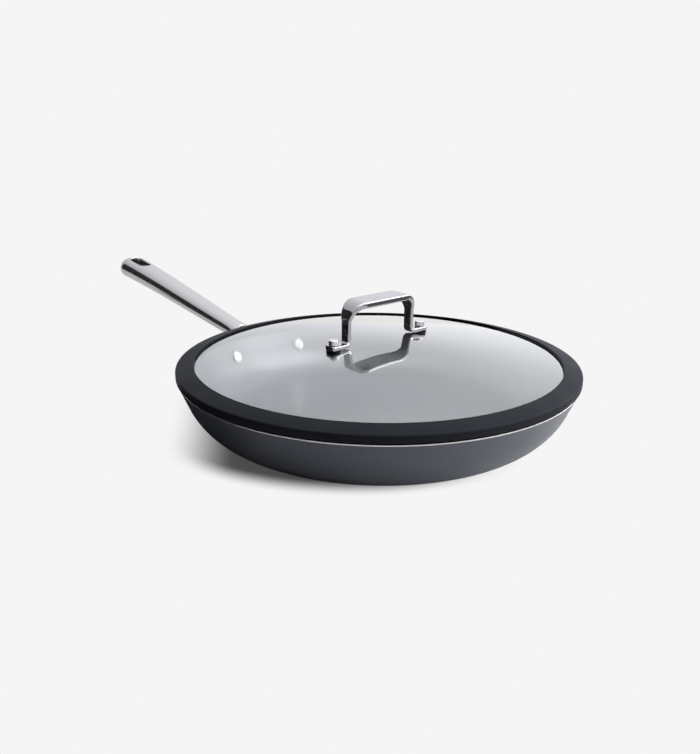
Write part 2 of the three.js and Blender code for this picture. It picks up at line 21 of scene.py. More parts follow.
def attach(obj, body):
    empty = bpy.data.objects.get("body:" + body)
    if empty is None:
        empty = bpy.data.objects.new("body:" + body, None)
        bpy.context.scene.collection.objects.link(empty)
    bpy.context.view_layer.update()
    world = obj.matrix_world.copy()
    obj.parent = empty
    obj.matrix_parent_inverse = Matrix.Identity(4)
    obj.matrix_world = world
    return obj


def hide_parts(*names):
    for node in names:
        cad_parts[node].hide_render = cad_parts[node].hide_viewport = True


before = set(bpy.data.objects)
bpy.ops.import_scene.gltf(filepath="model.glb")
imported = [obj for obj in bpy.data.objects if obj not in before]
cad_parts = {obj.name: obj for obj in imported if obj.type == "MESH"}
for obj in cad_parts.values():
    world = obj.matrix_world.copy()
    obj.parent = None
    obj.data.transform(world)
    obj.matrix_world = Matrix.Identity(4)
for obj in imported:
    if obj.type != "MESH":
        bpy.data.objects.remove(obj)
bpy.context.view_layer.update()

LOG = logging.getLogger("frying_pan")
MM = 0.001
TINY = 1e-6
IMAGE_HEIGHT_PX = 754
FINE_ROUND = 192
SMALL_ROUND = 64
CORNER_STEPS = 40
SMOOTH_ANGLE = math.radians(35)

# Directions along the pan's handle and to the lit side of the lid's handle, where the glass's painted
# reflection is bright
HANDLE_SIDE = (1.0, 0.0, 0.0)
LIT_SIDE = (-1.0, 0.0, 0.0)

# Noise of the surface effects: finer layers, heights between which a mask rises, and cells per metre
FINE_DETAIL = 4.0
GRAIN_DETAIL = 2.0
BRUSH_DETAIL = 3.0
PATCH_ENDS = (0.3, 0.7)
GRAIN_ENDS = (0.35, 0.65)
BRUSH_SCALE = (18, 1500, 1500)

Point = tuple[float, float]
Triple = tuple[float, float, float]
Colour = tuple[float, float, float]
Loop = list[Vector]


class Body(Enum):
    """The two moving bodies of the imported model."""

    PAN = "pan"
    LID = "lid"


class Slot(Enum):
    """Material slots of the record."""

    ANODISED = "anodised_aluminium"
    BASE_STEEL = "base_steel"
    SATIN_STEEL = "satin_steel"
    RIVET_STEEL = "rivet_steel"
    GLASS = "clear_glass"
    SILICONE = "silicone"
    POLISHED_STEEL = "polished_steel"


class Zone(Enum):
    """Finished zones of the pan's shell, in the order of its materials."""

    OUTSIDE = 0
    RIM = 1
    INSIDE = 2


class Cut(Enum):
    """What a second solid does to the first."""

    REMOVE = "DIFFERENCE"
    ADD = "UNION"


class Mark(Enum):
    """Marks on a surface that materials share, by the names of their effects."""

    SMUDGES = "smudges"
    GRAIN = "fine_grain"
    FLECKS = "flecks"
    RINGS = "turned_rings"
    LINES = "brushed_lines"
    CROWN = "pressed_crown"


def srgb(red: float, green: float, blue: float) -> Colour:
    """Turns a screen colour into the linear one that shaders use.

    Args:
        red: Red, 0 to 255.
        green: Green, 0 to 255.
        blue: Blue, 0 to 255.

    Returns:
        The linear colour.
    """
    def linear(value: float) -> float:
        """Linear light of one channel."""
        share = value / 255
        return share / 12.92 if share <= 0.04045 else ((share + 0.055) / 1.055) ** 2.4

    return linear(red), linear(green), linear(blue)


# Outlines and curves, in millimetres


def spaced(start: float, end: float, steps: int) -> list[float]:
    """Values from start to end in equal steps, both included."""
    return [start + (end - start) * i / steps for i in range(steps + 1)]


def quarter_turn(steps: int) -> list[float]:
    """Angles of a quarter turn in equal steps, both ends included."""
    return spaced(0, math.pi / 2, steps)


def arc(centre: Point, radius: float, start: float, end: float, steps: int) -> list[Point]:
    """Points of a circular arc, both ends included.

    Args:
        centre: Centre of the circle.
        radius: Radius of the circle.
        start: First angle in radians.
        end: Last angle in radians.
        steps: Count of equal steps.

    Returns:
        The points in order.
    """
    angles = spaced(start, end, steps)
    return [(centre[0] + radius * math.cos(a), centre[1] + radius * math.sin(a)) for a in angles]


def rounded_corner(before: Point, corner: Point, after: Point, distance: float,
                   steps: int = 6) -> list[Point]:
    """Replaces a corner with a short curve that leaves it by a distance.

    Args:
        before: A point on the way in.
        corner: The corner itself.
        after: A point on the way out.
        distance: How far from the corner the curve starts and ends.
        steps: Count of equal steps.

    Returns:
        The points of the curve.
    """
    middle = Vector(corner)
    start = middle + (Vector(before) - middle).normalized() * distance
    end = middle + (Vector(after) - middle).normalized() * distance
    shares = spaced(0, 1, steps)
    return [tuple(start * (1 - t) ** 2 + middle * (2 * t * (1 - t)) + end * t * t) for t in shares]


def line(start: Point, end: Point, steps: int) -> list[Point]:
    """Points of a straight line, both ends included.

    Args:
        start: First point.
        end: Last point.
        steps: Count of equal steps.

    Returns:
        The points in order.
    """
    return list(zip(spaced(start[0], end[0], steps), spaced(start[1], end[1], steps)))


def soft_section(width: float, height: float, squareness: float, count: int) -> list[Point]:
    """A section between an ellipse (squareness 2) and a rectangle (large squareness).

    Args:
        width: Full width.
        height: Full height.
        squareness: Power of the curve.
        count: Count of points.

    Returns:
        The points of the closed section.
    """
    def bulge(value: float) -> float:
        """One coordinate of the curve, from -1 to 1."""
        return math.copysign(abs(value) ** (2 / squareness), value)

    turns = [2 * math.pi * (i + 0.5) / count for i in range(count)]
    return [(bulge(math.cos(t)) * width / 2, bulge(math.sin(t)) * height / 2) for t in turns]


def mix(low: float, high: float, share: float) -> float:
    """The value a share of the way from low to high."""
    return low + (high - low) * share


def clamp(value: float, low: float, high: float) -> float:
    """The value kept between two limits."""
    return max(low, min(high, value))


@dataclass
class CentreLine:
    """A cubic curve in the XZ plane, walked by its length."""

    corners: Sequence[Point]
    samples: int = 400
    places: list[Vector] = field(init=False)
    lengths: list[float] = field(init=False)

    def __post_init__(self) -> None:
        """Measures the curve once."""
        a, b, c, d = (Vector(p) for p in self.corners)
        self.places = []
        for t in spaced(0, 1, self.samples):
            s = 1 - t
            self.places.append(a * s ** 3 + b * (3 * s * s * t) + c * (3 * s * t * t) + d * t ** 3)
        self.lengths = [0.0]
        for p, q in zip(self.places, self.places[1:]):
            self.lengths.append(self.lengths[-1] + (q - p).length)

    @property
    def length(self) -> float:
        """Length of the whole curve."""
        return self.lengths[-1]

    def at(self, distance: float) -> tuple[Vector, Vector]:
        """A place on the curve, or on its straight run beyond an end.

        Args:
            distance: Length from the start.

        Returns:
            The place and the direction there.
        """
        inside = clamp(distance, 0.0, self.length)
        index = min(bisect_right(self.lengths, inside) - 1, self.samples - 1)
        span = self.lengths[index + 1] - self.lengths[index]
        share = (inside - self.lengths[index]) / span
        place = self.places[index].lerp(self.places[index + 1], share)
        direction = (self.places[index + 1] - self.places[index]).normalized()
        return place + direction * (distance - inside), direction


# Meshes


def new_object(name: str, mesh: bpy.types.Mesh) -> bpy.types.Object:
    """Puts a mesh into the scene as an object at the origin.

    Args:
        name: Name of the object.
        mesh: Its mesh.

    Returns:
        The new object.
    """
    made = bpy.data.objects.new(name, mesh)
    bpy.context.scene.collection.objects.link(made)
    return made


def mesh_object(name: str, corners: Sequence[Vector], faces: Iterable[Sequence[int]]) -> bpy.types.Object:
    """Makes an object from corners in millimetres, with every face pointing out.

    Args:
        name: Name of the object.
        corners: Corners in millimetres.
        faces: Corner numbers of each face.

    Returns:
        The new object.
    """
    mesh = bpy.data.meshes.new(name)
    mesh.from_pydata([c * MM for c in corners], [], [list(f) for f in faces])
    mesh.validate()
    work = bmesh.new()
    work.from_mesh(mesh)
    bmesh.ops.recalc_face_normals(work, faces=work.faces)
    work.to_mesh(mesh)
    work.free()
    return new_object(name, mesh)


def revolve(name: str, profile: Sequence[Point], segments: int = FINE_ROUND,
            zones: Sequence[int] | None = None) -> bpy.types.Object:
    """Turns a profile of (radius, height) points about the Z axis.

    A profile that starts and ends on the axis closes there. Any other profile is closed as a ring.

    Args:
        name: Name of the object.
        profile: Points in millimetres.
        segments: Count of steps round the axis.
        zones: Material number of each step of the profile, if there are several.

    Returns:
        The new object.
    """
    corners: list[Vector] = []
    rings: list[list[int]] = []
    for radius, height in profile:
        if radius < TINY:
            rings.append([len(corners)])
            corners.append(Vector((0, 0, height)))
            continue
        rings.append(list(range(len(corners), len(corners) + segments)))
        for i in range(segments):
            turn = 2 * math.pi * i / segments
            corners.append(Vector((radius * math.cos(turn), radius * math.sin(turn), height)))
    on_axis = len(rings[0]) == 1 and len(rings[-1]) == 1
    steps = list(zip(rings, rings[1:])) if on_axis else list(zip(rings, rings[1:] + rings[:1]))
    faces, numbers = [], []
    for step, (low, high) in enumerate(steps):
        for i in range(segments):
            j = (i + 1) % segments
            quad = [low[i % len(low)], low[j % len(low)], high[j % len(high)], high[i % len(high)]]
            face = list(dict.fromkeys(quad))
            if len(face) > 2:
                faces.append(face)
                numbers.append(zones[step] if zones else 0)
    made = mesh_object(name, corners, faces)
    made.data.polygons.foreach_set("material_index", numbers)
    return made


def loft(name: str, loops: Sequence[Loop]) -> bpy.types.Object:
    """Skins over closed loops of equal counts, with a flat face at each end.

    Args:
        name: Name of the object.
        loops: The loops in millimetres.

    Returns:
        The new object.
    """
    count = len(loops[0])
    corners = [p for loop in loops for p in loop]
    faces: list[list[int]] = []
    for k in range(len(loops) - 1):
        for i in range(count):
            here, after = k * count + i, k * count + (i + 1) % count
            faces.append([here, after, after + count, here + count])
    faces.append(list(range(count)))
    faces.append(list(range((len(loops) - 1) * count, len(loops) * count)))
    return mesh_object(name, corners, faces)


def apply_tools(piece: bpy.types.Object, cut: Cut, *tools: bpy.types.Object) -> bpy.types.Object:
    """Cuts tools out of a piece or adds them to it, then removes the tools.

    Args:
        piece: The piece to change.
        cut: Whether the tools are removed or added.
        tools: The tools.

    Returns:
        The same piece.
    """
    for tool in tools:
        step = piece.modifiers.new("fit", "BOOLEAN")
        step.operation = cut.value
        step.solver = "EXACT"
        step.object = tool
    seen = piece.evaluated_get(bpy.context.evaluated_depsgraph_get())
    mesh = bpy.data.meshes.new_from_object(seen)
    piece.modifiers.clear()
    piece.data = mesh
    for tool in tools:
        bpy.data.objects.remove(tool)
    return piece


def soften(piece: bpy.types.Object, angle: float = SMOOTH_ANGLE) -> bpy.types.Object:
    """Shades a piece smooth, with crisp edges where its faces meet at more than an angle.

    Args:
        piece: The piece to shade.
        angle: The angle in radians.

    Returns:
        The same piece.
    """
    piece.data.polygons.foreach_set("use_smooth", [True] * len(piece.data.polygons))
    piece.data.set_sharp_from_angle(angle=angle)
    return piece


def finish_piece(piece: bpy.types.Object, body: Body, slot: Slot, nodes: Sequence[str],
                 *materials: bpy.types.Material) -> None:
    """Gives a piece its materials, its body and the solids that it stands for.

    Args:
        piece: The piece.
        body: The body that carries it.
        slot: The record's material slot; not used.
        nodes: Names of the solids that it replaces.
        materials: Its materials in order.
    """
    numbers = [0] * len(piece.data.polygons)
    piece.data.polygons.foreach_get("material_index", numbers)
    piece.data.materials.clear()
    for material in materials:
        piece.data.materials.append(material)
    piece.data.polygons.foreach_set("material_index", numbers)
    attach(piece, body.value)
    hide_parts(*nodes)
    LOG.info("%s rides on %s, faces: %d", piece.name, body.value, len(piece.data.polygons))


# Shader building


@dataclass
class Wiring:
    """A node tree that is being wired."""

    tree: bpy.types.NodeTree

    def add(self, kind: str, **settings: object) -> bpy.types.Node:
        """Adds a node.

        Args:
            kind: Short type name, without its ShaderNode prefix.
            settings: Properties of the node.

        Returns:
            The new node.
        """
        node = self.tree.nodes.new(f"ShaderNode{kind}")
        for key, value in settings.items():
            setattr(node, key, value)
        return node

    def link(self, source: bpy.types.NodeSocket, target: bpy.types.NodeSocket) -> None:
        """Joins two sockets."""
        self.tree.links.new(source, target)

    def feed(self, target: bpy.types.NodeSocket, value: object) -> None:
        """Joins an input to another socket, or sets it.

        Args:
            target: The input.
            value: Socket, number, vector or colour.
        """
        if isinstance(value, bpy.types.NodeSocket):
            self.link(value, target)
        else:
            target.default_value = (*value, 1.0) if target.type == "RGBA" else value

    def place(self) -> bpy.types.NodeSocket:
        """The point on the surface, in metres."""
        return self.add("TexCoord").outputs["Object"]

    def math(self, operation: str, first: object, second: object = 0.0) -> bpy.types.NodeSocket:
        """Adds a sum of two sockets or numbers.

        Args:
            operation: Name of the operation.
            first: Socket or number.
            second: Socket or number.

        Returns:
            The result's socket.
        """
        node = self.add("Math", operation=operation)
        for target, value in zip(node.inputs, (first, second)):
            self.feed(target, value)
        return node.outputs[0]

    def vector(self, operation: str, first: object, second: object = (0.0, 0.0, 0.0)) -> bpy.types.Node:
        """Adds a sum of two vectors.

        Args:
            operation: Name of the operation.
            first: Socket or vector.
            second: Socket or vector.

        Returns:
            The node, with its outputs Vector and Value.
        """
        node = self.add("VectorMath", operation=operation)
        for target, value in zip(node.inputs, (first, second)):
            self.feed(target, value)
        return node

    def along(self, source: bpy.types.NodeSocket, direction: Sequence[float]) -> bpy.types.NodeSocket:
        """How far a vector reaches along a direction."""
        return self.vector("DOT_PRODUCT", source, direction).outputs["Value"]

    def noise(self, vector: bpy.types.NodeSocket, scale: object, detail: float) -> bpy.types.NodeSocket:
        """Adds a noise from 0 to 1.

        Args:
            vector: Where it is read.
            scale: Socket or number.
            detail: How many finer layers it has.

        Returns:
            The value's socket.
        """
        node = self.add("TexNoise")
        for name, value in (("Vector", vector), ("Scale", scale), ("Detail", detail)):
            self.feed(node.inputs[name], value)
        return node.outputs["Fac"]

    def spread(self, value: bpy.types.NodeSocket, ends: Point,
               results: Point = (0.0, 1.0)) -> bpy.types.NodeSocket:
        """Maps a value from one range to another, smoothly and without overshoot.

        Args:
            value: The value's socket.
            ends: Lower and upper end of its range.
            results: Results at these ends.

        Returns:
            The result's socket.
        """
        node = self.add("MapRange", interpolation_type="SMOOTHSTEP")
        self.link(value, node.inputs["Value"])
        for name, number in zip(("From Min", "From Max", "To Min", "To Max"), (*ends, *results)):
            node.inputs[name].default_value = number
        return node.outputs["Result"]

    def blend(self, share: bpy.types.NodeSocket, first: Colour, second: Colour) -> bpy.types.NodeSocket:
        """Mixes two colours.

        Args:
            share: How much of the second colour shows.
            first: A colour.
            second: A colour.

        Returns:
            The colour's socket.
        """
        node = self.add("Mix", data_type="RGBA")
        self.link(share, node.inputs["Factor"])
        targets = [socket for socket in node.inputs if socket.type == "RGBA"]
        for target, value in zip(targets, (first, second)):
            self.feed(target, value)
        return next(socket for socket in node.outputs if socket.type == "RGBA")

    def choose(self, share: bpy.types.NodeSocket, first: bpy.types.NodeSocket,
               second: bpy.types.NodeSocket) -> bpy.types.NodeSocket:
        """Mixes two shaders.

        Args:
            share: How much of the second shader shows.
            first: Output of a shader.
            second: Output of a shader.

        Returns:
            The mixed shader's output.
        """
        node = self.add("MixShader")
        for target, source in zip(node.inputs, (share, first, second)):
            self.link(source, target)
        return node.outputs["Shader"]

    def mirrored(self, path: bpy.types.NodeOutputs) -> bpy.types.NodeSocket:
        """Where another surface mirrors this one, told by the outputs of a light path node."""
        return self.math("MULTIPLY", path["Is Glossy Ray"], path["Is Reflection Ray"])


@dataclass
class Effect:
    """A shared surface effect: a node group with named inputs and outputs."""

    mark: Mark
    inputs: dict[str, float]
    outputs: tuple[str, ...]
    tree: bpy.types.NodeTree = field(init=False)
    wiring: Wiring = field(init=False)
    given: bpy.types.NodeOutputs = field(init=False)
    result: bpy.types.Node = field(init=False)

    def __post_init__(self) -> None:
        """Makes the empty group and its sockets."""
        self.tree = bpy.data.node_groups.new(self.mark.value, "ShaderNodeTree")
        for name, value in self.inputs.items():
            socket = self.tree.interface.new_socket(name, in_out="INPUT", socket_type="NodeSocketFloat")
            socket.default_value = value
        for name in self.outputs:
            self.tree.interface.new_socket(name, in_out="OUTPUT", socket_type="NodeSocketFloat")
        self.wiring = Wiring(self.tree)
        self.given = self.tree.nodes.new("NodeGroupInput").outputs
        self.result = self.tree.nodes.new("NodeGroupOutput")

    def stretched(self, scale: Sequence[float]) -> bpy.types.NodeSocket:
        """The point on the surface with each axis scaled.

        Args:
            scale: Scale along X, Y and Z.

        Returns:
            The scaled point's socket.
        """
        node = self.wiring.add("Mapping")
        node.inputs["Scale"].default_value = scale
        self.wiring.link(self.wiring.place(), node.inputs["Vector"])
        return node.outputs["Vector"]

    def radius(self) -> bpy.types.NodeSocket:
        """Distance from the pan's axis, in metres."""
        return self.wiring.vector("LENGTH", self.stretched((1, 1, 0))).outputs["Value"]

    def output(self, name: str, source: bpy.types.NodeSocket) -> None:
        """Feeds one of the group's outputs."""
        self.wiring.link(source, self.result.inputs[name])

    def give_relief(self, place: bpy.types.NodeSocket, detail: float, ends: Point) -> None:
        """Feeds the outputs Height and Mask from one noise at the given Scale.

        Args:
            place: Where the noise is read.
            detail: How many finer layers it has.
            ends: Heights between which the mask rises.
        """
        relief = self.wiring.noise(place, self.given["Scale"], detail)
        self.output("Height", relief)
        self.output("Mask", self.wiring.spread(relief, ends))


def smudge_effect() -> Effect:
    """Wide soft patches, as handling leaves them on a smooth surface.

    Returns:
        The effect, with outputs Roughness and Mask.
    """
    effect = Effect(Mark.SMUDGES, {"Scale": 30.0, "Roughness": 0.3, "Change": 0.05}, ("Roughness", "Mask"))
    wiring, given = effect.wiring, effect.given
    mask = wiring.spread(wiring.noise(wiring.place(), given["Scale"], FINE_DETAIL), PATCH_ENDS)
    change = wiring.math("MULTIPLY", wiring.math("SUBTRACT", mask, 0.5), given["Change"])
    effect.output("Roughness", wiring.math("ADD", given["Roughness"], change))
    effect.output("Mask", mask)
    return effect


def grain_effect() -> Effect:
    """Fine even grain, as blasting or moulding leaves it.

    Returns:
        The effect, with outputs Height and Mask.
    """
    effect = Effect(Mark.GRAIN, {"Scale": 1800.0}, ("Height", "Mask"))
    effect.give_relief(effect.wiring.place(), GRAIN_DETAIL, GRAIN_ENDS)
    return effect


def fleck_effect() -> Effect:
    """Small scattered specks, such as flakes in a coat or dust on a soft surface.

    Returns:
        The effect, with output Mask.
    """
    effect = Effect(Mark.FLECKS, {"Scale": 700.0, "Size": 0.2, "Share": 0.5}, ("Mask",))
    wiring, given = effect.wiring, effect.given
    cells = wiring.add("TexVoronoi", feature="F1")
    wiring.link(wiring.place(), cells.inputs["Vector"])
    wiring.link(given["Scale"], cells.inputs["Scale"])
    near = wiring.math("LESS_THAN", cells.outputs["Distance"], given["Size"])
    pick = wiring.add("SeparateColor")
    wiring.link(cells.outputs["Color"], pick.inputs["Color"])
    chosen = wiring.math("LESS_THAN", pick.outputs["Red"], given["Share"])
    effect.output("Mask", wiring.math("MULTIPLY", near, chosen))
    return effect


def turned_effect() -> Effect:
    """Rings about the axis, as a lathe or a spinning brush leaves them.

    Returns:
        The effect, with outputs Height and Mask.
    """
    effect = Effect(Mark.RINGS, {"Scale": 1500.0}, ("Height", "Mask"))
    position = effect.wiring.add("CombineXYZ")
    effect.wiring.link(effect.radius(), position.inputs["X"])
    effect.give_relief(position.outputs["Vector"], FINE_DETAIL, PATCH_ENDS)
    return effect


def brushed_effect() -> Effect:
    """Fine lines along the pan's handle.

    Returns:
        The effect, with outputs Height and Mask.
    """
    effect = Effect(Mark.LINES, {"Scale": 1.0}, ("Height", "Mask"))
    effect.give_relief(effect.stretched(BRUSH_SCALE), BRUSH_DETAIL, PATCH_ENDS)
    return effect


def crown_effect() -> Effect:
    """How much rounder pressed glass stands at its crown than a plain sphere does.

    The glass's own curve is a hyperbola: Rise and Width set it, in metres. Sphere is the plain dome's radius.

    Returns:
        The effect, with output Height.
    """
    effect = Effect(Mark.CROWN, {"Rise": 0.010, "Width": 0.051, "Sphere": 0.6}, ("Height",))
    wiring, given = effect.wiring, effect.given
    radius = effect.radius()
    share = wiring.math("DIVIDE", radius, given["Width"])
    slant = wiring.math("SQRT", wiring.math("ADD", wiring.math("MULTIPLY", share, share), 1.0))
    pressed = wiring.math("MULTIPLY", wiring.math("SUBTRACT", 1.0, slant), given["Rise"])
    square = wiring.math("MULTIPLY", radius, radius)
    plain = wiring.math("DIVIDE", square, wiring.math("MULTIPLY", given["Sphere"], 2.0))
    effect.output("Height", wiring.math("ADD", pressed, plain))
    return effect


Effects = dict[Mark, Effect]


def build_effects() -> Effects:
    """Builds each shared effect once."""
    makers = (smudge_effect, grain_effect, fleck_effect, turned_effect, brushed_effect, crown_effect)
    return {effect.mark: effect for effect in (make() for make in makers)}


@dataclass
class Shader:
    """One material with its main shader."""

    name: str
    material: bpy.types.Material = field(init=False)
    wiring: Wiring = field(init=False)
    main: bpy.types.Node = field(init=False)
    end: bpy.types.Node = field(init=False)

    def __post_init__(self) -> None:
        """Makes the material with a plain shader."""
        self.material = bpy.data.materials.new(self.name)
        self.material.use_nodes = True
        self.material.node_tree.nodes.clear()
        self.wiring = Wiring(self.material.node_tree)
        self.main = self.wiring.add("BsdfPrincipled")
        self.end = self.wiring.add("OutputMaterial")
        self.surface(self.main.outputs["BSDF"])

    def surface(self, source: bpy.types.NodeSocket) -> None:
        """Feeds the material's surface."""
        self.wiring.link(source, self.end.inputs["Surface"])

    def hold(self, **values: object) -> None:
        """Sets values that are the same all over the surface.

        Args:
            values: Socket names, with underscores for spaces, and their values.
        """
        for key, value in values.items():
            self.wiring.feed(self.main.inputs[key.replace("_", " ")], value)

    def use(self, effect: Effect, **values: float) -> bpy.types.NodeOutputs:
        """Places a shared effect with its own values.

        Args:
            effect: The effect.
            values: Its inputs.

        Returns:
            Its outputs.
        """
        node = self.wiring.add("Group", node_tree=effect.tree)
        for key, value in values.items():
            node.inputs[key].default_value = value
        return node.outputs

    def colour(self, source: bpy.types.NodeSocket) -> None:
        """Feeds the base colour."""
        self.wiring.link(source, self.main.inputs["Base Color"])

    def roughness(self, source: bpy.types.NodeSocket) -> None:
        """Feeds the roughness."""
        self.wiring.link(source, self.main.inputs["Roughness"])

    def bump(self, height: bpy.types.NodeSocket, strength: float, depth: float) -> bpy.types.NodeSocket:
        """Feeds the normal from a height.

        Args:
            height: The height's socket.
            strength: Strength of the bump, 0 to 1.
            depth: Depth of the height in metres.

        Returns:
            The normal's socket.
        """
        node = self.wiring.add("Bump")
        for name, value in (("Strength", strength), ("Distance", depth), ("Height", height)):
            self.wiring.feed(node.inputs[name], value)
        self.wiring.link(node.outputs["Normal"], self.main.inputs["Normal"])
        return node.outputs["Normal"]


# Finishes


@dataclass(frozen=True)
class Pattern:
    """A shared effect at a finish's own scale."""

    mark: Mark
    scale: float

    def values(self) -> dict[str, float]:
        """Values of the effect's inputs."""
        return {"Scale": self.scale}


@dataclass(frozen=True)
class Flecks(Pattern):
    """Flecks of a size within their cells, in a share of the cells."""

    size: float
    share: float

    def values(self) -> dict[str, float]:
        """Values of the effect's inputs."""
        return {"Scale": self.scale, "Size": self.size, "Share": self.share}


@dataclass(frozen=True)
class Relief:
    """A pattern's height as a bump, with its depth in millimetres."""

    pattern: Pattern
    strength: float
    depth: float


class Finish(ABC):
    """A finish that can make its own material."""

    @abstractmethod
    def make(self, effects: Effects) -> bpy.types.Material:
        """Makes the material.

        Args:
            effects: The shared effects.

        Returns:
            The material.
        """


@dataclass(frozen=True)
class SolidFinish(Finish):
    """An opaque finish: a ground marked by a pattern, patchy roughness and a fine relief."""

    name: str
    ground: Colour
    marked: Colour
    roughness: float
    metallic: float
    tone: Pattern
    relief: Relief
    smudge_scale: float
    smudge_change: float
    gloss: float = 0.5

    def make(self, effects: Effects) -> bpy.types.Material:
        """Makes the material of a piece with this finish.

        Args:
            effects: The shared effects.

        Returns:
            The material.
        """
        shader = Shader(self.name)

        def placed(pattern: Pattern) -> bpy.types.NodeOutputs:
            """Outputs of a pattern in this material."""
            return shader.use(effects[pattern.mark], **pattern.values())

        shader.hold(Metallic=self.metallic, Specular_IOR_Level=self.gloss)
        smudges = shader.use(effects[Mark.SMUDGES], Scale=self.smudge_scale, Roughness=self.roughness,
                             Change=self.smudge_change)
        shader.roughness(smudges["Roughness"])
        shader.colour(shader.wiring.blend(placed(self.tone)["Mask"], self.ground, self.marked))
        shader.bump(placed(self.relief.pattern)["Height"], self.relief.strength, self.relief.depth * MM)
        return shader.material


@dataclass(frozen=True)
class AnodisedFinish(SolidFinish):
    """Dark satin anodised aluminium with a fine blasted grain."""

    name: str = "anodised_aluminium"
    ground: Colour = srgb(64, 67, 75)
    marked: Colour = srgb(75, 78, 87)
    roughness: float = 0.44
    metallic: float = 0.35
    tone: Pattern = Pattern(Mark.GRAIN, 1500)
    relief: Relief = Relief(Pattern(Mark.GRAIN, 1500), strength=0.25, depth=0.06)
    smudge_scale: float = 22
    smudge_change: float = 0.06
    gloss: float = 0.35


@dataclass(frozen=True)
class CoatFinish(SolidFinish):
    """Pale ceramic non-stick coat with fine darker flakes."""

    name: str = "ceramic_coat"
    ground: Colour = srgb(95, 97, 102)
    marked: Colour = srgb(85, 87, 92)
    roughness: float = 0.28
    metallic: float = 0.0
    tone: Pattern = Flecks(Mark.FLECKS, 900, size=0.32, share=0.5)
    relief: Relief = Relief(Pattern(Mark.GRAIN, 420), strength=0.05, depth=0.1)
    smudge_scale: float = 16
    smudge_change: float = 0.01
    gloss: float = 0.6


@dataclass(frozen=True)
class BareRimFinish(SolidFinish):
    """Bare turned aluminium along the rim."""

    name: str = "bare_rim"
    ground: Colour = srgb(186, 184, 182)
    marked: Colour = srgb(216, 214, 212)
    roughness: float = 0.35
    metallic: float = 1.0
    tone: Pattern = Pattern(Mark.RINGS, 4000)
    relief: Relief = Relief(Pattern(Mark.RINGS, 4000), strength=0.3, depth=0.1)
    smudge_scale: float = 60
    smudge_change: float = 0.1


@dataclass(frozen=True)
class DiscSteelFinish(SolidFinish):
    """Steel of the base disc, brushed in rings."""

    name: str = "base_disc_steel"
    ground: Colour = srgb(168, 168, 167)
    marked: Colour = srgb(208, 208, 206)
    roughness: float = 0.36
    metallic: float = 1.0
    tone: Pattern = Pattern(Mark.RINGS, 1400)
    relief: Relief = Relief(Pattern(Mark.RINGS, 1400), strength=0.35, depth=0.2)
    smudge_scale: float = 18
    smudge_change: float = 0.14


@dataclass(frozen=True)
class HandleSteelFinish(SolidFinish):
    """Smooth steel of the pan's handle, polished along its length."""

    name: str = "handle_steel"
    ground: Colour = srgb(174, 171, 171)
    marked: Colour = srgb(179, 176, 176)
    roughness: float = 0.16
    metallic: float = 1.0
    tone: Pattern = Pattern(Mark.LINES, 1)
    relief: Relief = Relief(Pattern(Mark.LINES, 1), strength=0.01, depth=0.003)
    smudge_scale: float = 40
    smudge_change: float = 0.03


@dataclass(frozen=True)
class PolishedSteelFinish(SolidFinish):
    """Polished steel of the lid's handle and of small fasteners."""

    name: str = "polished_steel"
    ground: Colour = srgb(162, 161, 163)
    marked: Colour = srgb(169, 168, 169)
    roughness: float = 0.05
    metallic: float = 1.0
    tone: Pattern = Pattern(Mark.SMUDGES, 120)
    relief: Relief = Relief(Pattern(Mark.GRAIN, 900), strength=0.05, depth=0.02)
    smudge_scale: float = 120
    smudge_change: float = 0.02


@dataclass(frozen=True)
class SiliconeFinish(SolidFinish):
    """Matte moulded silicone with a trace of dust."""

    name: str = "band_silicone"
    ground: Colour = srgb(26, 28, 33)
    marked: Colour = srgb(33, 35, 40)
    roughness: float = 0.5
    metallic: float = 0.0
    tone: Pattern = Flecks(Mark.FLECKS, 520, size=0.16, share=0.22)
    relief: Relief = Relief(Pattern(Mark.GRAIN, 1300), strength=0.2, depth=0.06)
    smudge_scale: float = 35
    smudge_change: float = 0.08
    gloss: float = 0.04


RIVET_STEEL = PolishedSteelFinish(
    "rivet_steel", srgb(214, 214, 213), srgb(232, 232, 231), roughness=0.2, smudge_change=0.1)
BARREL_STEEL = PolishedSteelFinish(
    "barrel_steel", srgb(196, 195, 197), srgb(206, 205, 206), roughness=0.28, smudge_change=0.06)
SCREW_STEEL = PolishedSteelFinish(
    "screw_steel", srgb(190, 190, 188), srgb(214, 214, 212), roughness=0.22, smudge_change=0.1)
GASKET_SILICONE = SiliconeFinish("gasket_silicone", srgb(26, 26, 27), srgb(40, 40, 42), roughness=0.55)


